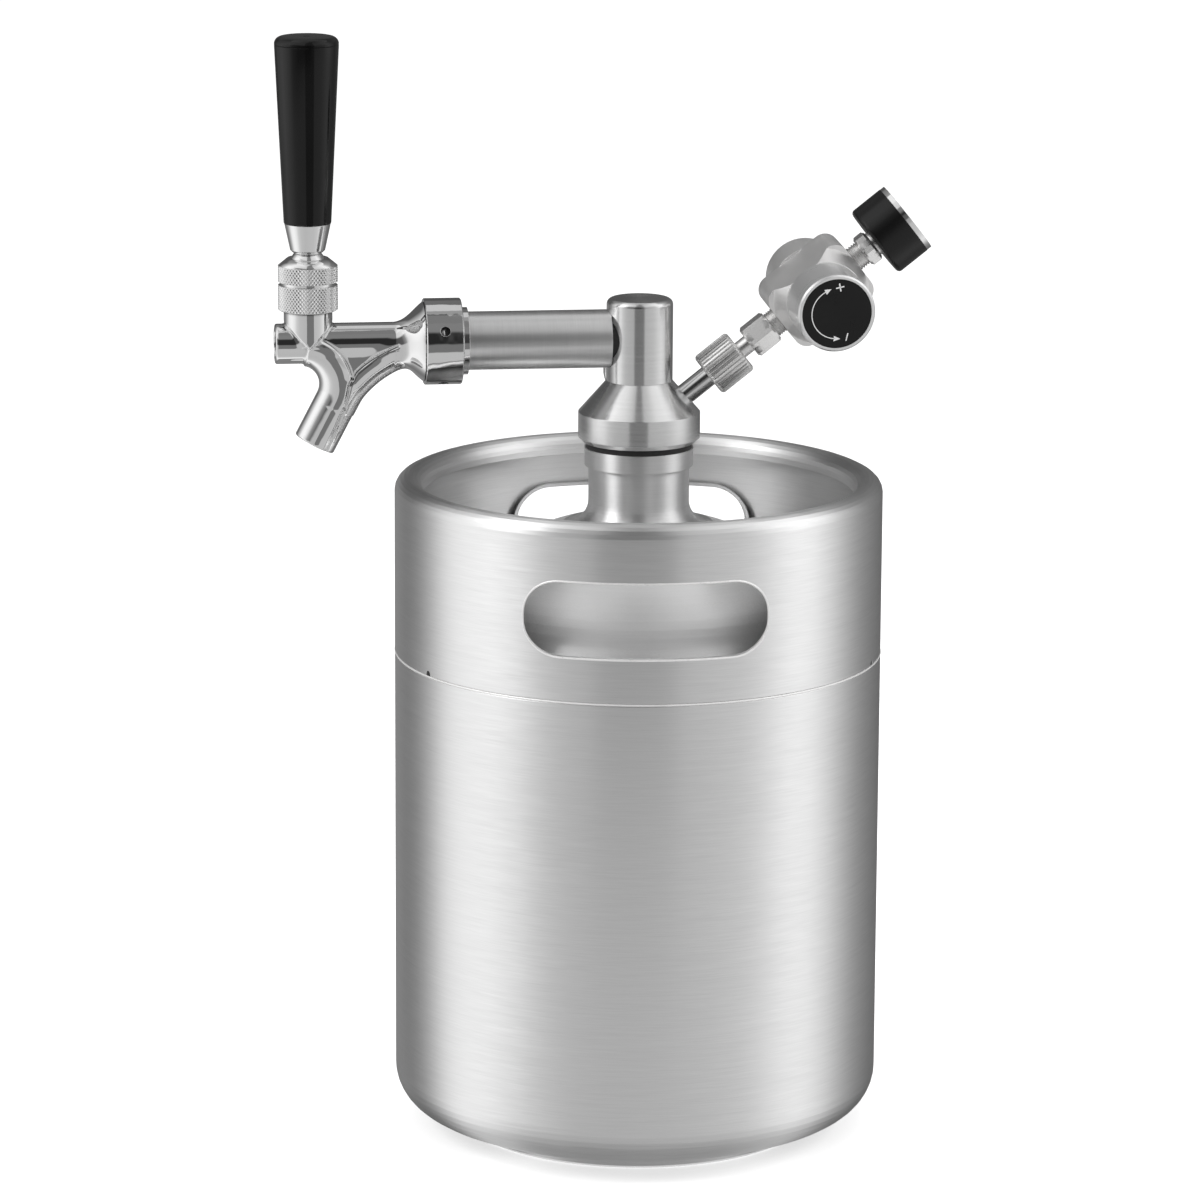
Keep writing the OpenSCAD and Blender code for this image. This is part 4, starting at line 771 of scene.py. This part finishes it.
def beads():
    r, seam_z, seam_steps, seam_wire = 83.80, 169.0, 240, 0.36
    slot_r, slot_mid, slot_turn, slot_wire = 83.90, 197.3, -5.3, 0.38
    half_w, half_h, corner = 41.0, 13.0, 12.0
    longest = 2.5    # between two points of the slot's outline
    bead("seam_highlight_bead", [Vector((*polar(r, a), seam_z)) for a in whole_turn(seam_steps)], seam_wire)
    corners = []
    for sx, sz, start in ((1, 1, 0), (-1, 1, 90), (-1, -1, 180), (1, -1, 270)):
        for a in range(start, start + 91, 9):
            x, z = polar(corner, math.radians(a))
            corners.append((sx * (half_w - corner) + x, sz * (half_h - corner) + z))
    outline = []
    for p, q in zip(corners, corners[1:] + corners[:1]):
        n = max(1, int(math.dist(p, q) / longest))
        outline += [(p[0] + (q[0] - p[0]) * k / n, p[1] + (q[1] - p[1]) * k / n) for k in range(n)]
    for name, more in (("slot_highlight_bead_front", 0), ("slot_highlight_bead_rear", 180)):
        spin = Matrix.Rotation(math.radians(slot_turn + more), 3, "Z")
        bead(name, [spin @ Vector((x, -math.sqrt(slot_r ** 2 - x * x), slot_mid + z)) for x, z in outline],
             slot_wire)


beads()


# Relief valve's spring as a real coil of round wire
def coil():
    radius, wire, turns, around, along = 3.1, 0.4, 3.5, 10, 98
    verts = []
    for i in range(along + 1):
        z = wire + (SPRING_L - 2 * wire) * i / along
        for b in whole_turn(around):
            x, y = polar(radius + wire * math.cos(b), 2 * math.pi * turns * i / along)
            verts.append(mm(x, y, z + wire * math.sin(b)))
    ends = [tuple(range(around)), tuple(along * around + k for k in range(around))]
    place = shift(0, SPRING_AT, RELIEF_Z) @ turned(-90, "X")
    return piece("relief_coil", verts, net(along + 1, around, closed=False) + ends, "relief", WIRE, place, 40,
                 ("relief_spring",))


relief_coil = coil()
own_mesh(relief_coil)


class Print:
    """Flat shapes of a print, all at one height over the local XY plane."""

    def __init__(self, height):
        self.height, self.verts, self.faces = height, [], []

    def add(self, points):
        first = len(self.verts)
        self.verts += [mm(x, y, self.height) for x, y in points]
        self.faces.append(tuple(range(first, first + len(points))))

    def arc(self, inner, outer, angles):
        for p, q in zip(angles, angles[1:]):
            self.add([polar(inner, p), polar(outer, p), polar(outer, q), polar(inner, q)])


# Label's mark: a double-headed arc between a plus and a minus
def label_mark():
    r, half_w, start, stop, steps = 8.7, 0.16, 117, 266, 40
    back, head_half, head_l = 0.3, 0.95, 2.0
    # Strokes of the plus and the minus: radius and angle of the middle, half length, half width, turn
    strokes = (9.2, 85, 1.45, 0.22, 12), (9.2, 85, 1.45, 0.22, 102), (9.0, -66, 1.35, 0.2, 78)
    mark = Print(31.93)
    angles = [math.radians(start + (stop - start) * i / steps) for i in range(steps + 1)]
    mark.arc(r - half_w, r + half_w, angles)
    for degrees, sense in ((start, -1), (stop, 1)):
        a = math.radians(degrees)
        out, on = Vector(polar(1, a)), Vector(polar(sense, a + math.pi / 2))
        foot = r * out - back * on
        mark.add([foot + head_half * out, r * out + head_l * on, foot - head_half * out])
    for radius, degrees, half, w, turn in strokes:
        mid = Vector(polar(radius, math.radians(degrees)))
        along, up = Vector(polar(half, math.radians(turn))), Vector(polar(w, math.radians(turn + 90)))
        mark.add([mid - along - up, mid + along - up, mid + along + up, mid - along + up])
    # The mark stands upright in the photograph, while local +Y runs up the gas axis
    place = KNOB_FRAME @ turned(90 - GAS_RISE, "Z")
    piece("label_mark", mark.verts, mark.faces, "knob", WHITE_INK, place, flat=True)


label_mark()


# Dial: ticks and plain numbers round a 270 degree sweep, with an arc line
def dial_marks():
    dial_at, dial_l, over = 91.9, 0.5, 0.03
    first, whole, ticks, long_every, arc_steps, numbers, tens, text_size = -45, 270, 30, 5, 60, 7, 10, 2.3
    number_r, long_r, short_r, arc_r0, arc_r1, long_half, short_half = 6.7, 8.4, 9.2, 10.2, 10.35, 0.16, 0.07
    face = dial_at + dial_l + over
    marks = Print(face)

    def sweep(share):
        return math.radians(first - whole * share)

    for i in range(ticks + 1):
        inner, w = (long_r, long_half) if i % long_every == 0 else (short_r, short_half)
        out, up = Vector(polar(1, sweep(i / ticks))), Vector(polar(w, sweep(i / ticks) + math.pi / 2))
        marks.add([inner * out + up, arc_r0 * out + up, arc_r0 * out - up, inner * out - up])
    marks.arc(arc_r0, arc_r1, [sweep(i / arc_steps) for i in range(arc_steps + 1)])
    piece("dial_ticks", marks.verts, marks.faces, "regulator", INK, GAS_FRAME, flat=True)
    for i in range(numbers):
        name = f"dial_number_{i}"
        text = bpy.data.curves.new(name, "FONT")
        text.body = str(i * tens)
        text.size = text_size * MM
        text.align_x, text.align_y = "CENTER", "CENTER"
        text.materials.append(INK)
        number = link(name, text)
        x, y = polar(number_r, sweep(i / (numbers - 1)))
        number.matrix_world = GAS_FRAME @ shift(x, y, face) @ turned(-90, "Z")
        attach(number, "regulator")


dial_marks()


# Studio
def stage_mesh(name, verts, faces, mat):
    mesh = bpy.data.meshes.new(name)
    mesh.from_pydata(verts, [], faces)
    mesh.materials.append(mat)
    obj = link(name, mesh)
    return obj


def floor():
    """A pale floor that carries the object's shadow and glows a little for the camera and the reflections."""
    half, tone, glow = 7.0, 0.8, 0.58
    g = material("floor_white", clear=True)
    diffuse = g.add("ShaderNodeBsdfDiffuse", {0: grey(tone)}).outputs[0]
    emission = g.add("ShaderNodeEmission", {1: g.math("MULTIPLY", g.seen(), glow)}).outputs[0]
    g.add("ShaderNodeOutputMaterial", {0: g.add("ShaderNodeAddShader", {0: diffuse, 1: emission}).outputs[0]})
    corners = [(-half, -half, 0), (half, -half, 0), (half, half, 0), (-half, half, 0)]
    stage_mesh("floor", corners, [(0, 1, 2, 3)], g.owner)


floor()


def world():
    """A white background that lights the object at a lower level than it shows."""
    lit, shown = 0.55, 1.0
    studio = bpy.data.worlds.new("studio")
    bpy.context.scene.world = studio
    g = Graph(studio)
    back = g.tree.nodes["Background"]
    g.put(back, 0, grey(1.0))
    g.put(back, 1, g.span(g.seen(), 0.0, 1.0, lit, shown))


world()

# The tent's greys by degrees round the keg from the camera's side, negative to the left
TENT_LOW = (
    (-180, 0.15), (-150, 0.24), (-128, 0.17), (-116, 0.23), (-104, 0.47), (-92, 0.88), (-80, 0.94),
    (-68, 0.82), (-59, 0.62), (-47, 0.52), (-25, 0.48), (0, 0.50), (25, 0.51), (47, 0.56), (59, 0.64),
    (68, 0.72), (80, 0.80), (92, 0.70), (104, 0.46), (116, 0.28), (130, 0.19), (150, 0.12), (180, 0.13))
TENT_BELT = (
    (-180, 0.08), (-125, 0.10), (-104, 0.55), (-92, 0.95), (-80, 1.00), (-68, 0.80), (-56, 0.30),
    (-40, 0.10), (3, 0.06), (8, 0.30), (30, 0.42), (56, 0.55), (68, 0.75), (80, 0.95), (92, 0.90),
    (104, 0.55), (125, 0.20), (180, 0.10))
TENT_HIGH = (
    (-180, 0.12), (-120, 0.30), (-85, 0.90), (-45, 0.72), (0, 0.60), (45, 0.72), (85, 0.90),
    (120, 0.35), (180, 0.12))


def tent_panels():
    """The tent's glow: three rings of greys one over the other, a ceiling and a dark card before the set."""
    belt_z, high_z, ceiling_z = (0.27, 0.31), (0.50, 0.60), (0.93, 0.94)
    ceiling_x, ceiling_mid, ceiling_side = (0.10, 0.34), 0.56, 0.86
    card_left, card_right, card_soft, card_z, card_dark = -18, 16, 0.003, (0.12, 0.145), 0.66
    foot_reach, foot_dark, strength = (0.0072, 0.0105), 0.45, 1.14
    squeeze_near, squeeze_far = 0.0060, 0.966
    g = material("tent_panels", clear=True)
    x, y, z = g.add("ShaderNodeSeparateXYZ", {0: g.add("ShaderNodeNewGeometry").outputs["Position"]}).outputs

    # Angle round the keg as a share of the whole turn. Near the keg the floor's pattern is squeezed, so
    # that the body mirrors it in upright bands.
    az = g.math("ADD", g.math("ARCTAN2", x, g.math("MULTIPLY", y, -1.0)), math.radians(-VIEW_AZ))
    az = g.math("WRAP", az, math.pi, -math.pi)
    reach = g.total((x, x), (y, y))
    squeeze = g.math("ADD", g.math("DIVIDE", squeeze_near, reach), squeeze_far)
    share = g.math("ADD", g.math("DIVIDE", g.math("MULTIPLY", az, squeeze), 2 * math.pi), 0.5, clamp=True)

    def ramp(points):
        node = g.add("ShaderNodeValToRGB", {0: share})
        stops = node.color_ramp.elements
        while len(stops) > 1:
            stops.remove(stops[0])
        (first, tone), *rest = [((degrees + 180) / 360, grey(v)) for degrees, v in points]
        stops[0].position, stops[0].color = first, tone
        for at, tone in rest:
            stops.new(at).color = tone
        return node.outputs[0]

    def edge(value, lo, hi):
        return g.span(value, lo, hi, kind="SMOOTHSTEP")

    ceiling = g.mix(edge(g.math("ABSOLUTE", x), *ceiling_x), grey(ceiling_mid), grey(ceiling_side))
    wall = g.mix(edge(z, *belt_z), ramp(TENT_LOW), ramp(TENT_BELT))
    wall = g.mix(edge(z, *high_z), wall, ramp(TENT_HIGH))
    wall = g.mix(edge(z, *ceiling_z), wall, ceiling)
    # A dark upright card before the set, above the keg's belly, and the shade close round the foot
    left, right = ((180 + v) / 360 for v in (card_left, card_right))
    card = g.math("MULTIPLY", edge(share, left - card_soft, left + card_soft),
                  edge(share, right + card_soft, right - card_soft))
    card = g.math("MULTIPLY", card, edge(z, *card_z))
    shade = g.math("ADD", g.math("MULTIPLY", edge(reach, *foot_reach), foot_dark), 1 - foot_dark)
    level = g.math("MULTIPLY", g.math("SUBTRACT", 1.0, g.math("MULTIPLY", card, card_dark)), shade)
    glow = g.add("ShaderNodeEmission", {0: wall, 1: g.math("MULTIPLY", level, strength)})
    g.add("ShaderNodeOutputMaterial", {0: glow.outputs[0]})
    return g.owner


def tent():
    """A light tent round the set that only reflections see.

    It has bright side panels, a mid-grey front with a dark belt above it, a dark back, a pale ceiling and a
    floor that carries the wall's tones inward.
    """
    radius, low, top, steps = 0.42, 0.001, 0.95, 96
    verts = [(*polar(radius, a), z) for a in whole_turn(steps) for z in (low, top)]
    faces = []
    for i in range(steps):
        j = (i + 1) % steps
        faces.append((2 * i, 2 * j, 2 * j + 1, 2 * i + 1))
    faces += [tuple(range(0, 2 * steps, 2)), tuple(range(1, 2 * steps, 2))]
    obj = stage_mesh("tent", verts, faces, tent_panels())
    obj.visible_camera = False
    obj.visible_diffuse = False
    obj.visible_shadow = False
    obj.visible_transmission = False
    obj.visible_volume_scatter = False


tent()

# Soft lamps: name, place, aim, size and power
LAMPS = (
    ("key", (-1.65, -0.50, 1.35), (0, 0, 0.18), (0.8, 1.1), 16),
    ("fill", (1.65, -0.42, 1.25), (0, 0, 0.18), (0.8, 1.1), 14),
    ("top", (0.0, 0.4, 1.9), (0, 0, 0.15), (1.2, 1.0), 9),
)
for name, place, aim, size, power in LAMPS:
    lamp = bpy.data.lights.new(name, "AREA")
    lamp.shape = "RECTANGLE"
    lamp.size, lamp.size_y = size
    lamp.energy = power
    obj = link(name, lamp)
    obj.location = place
    obj.rotation_euler = (Vector(aim) - Vector(place)).to_track_quat("-Z", "Y").to_euler()

bpy.context.scene.view_settings.view_transform = "Standard"
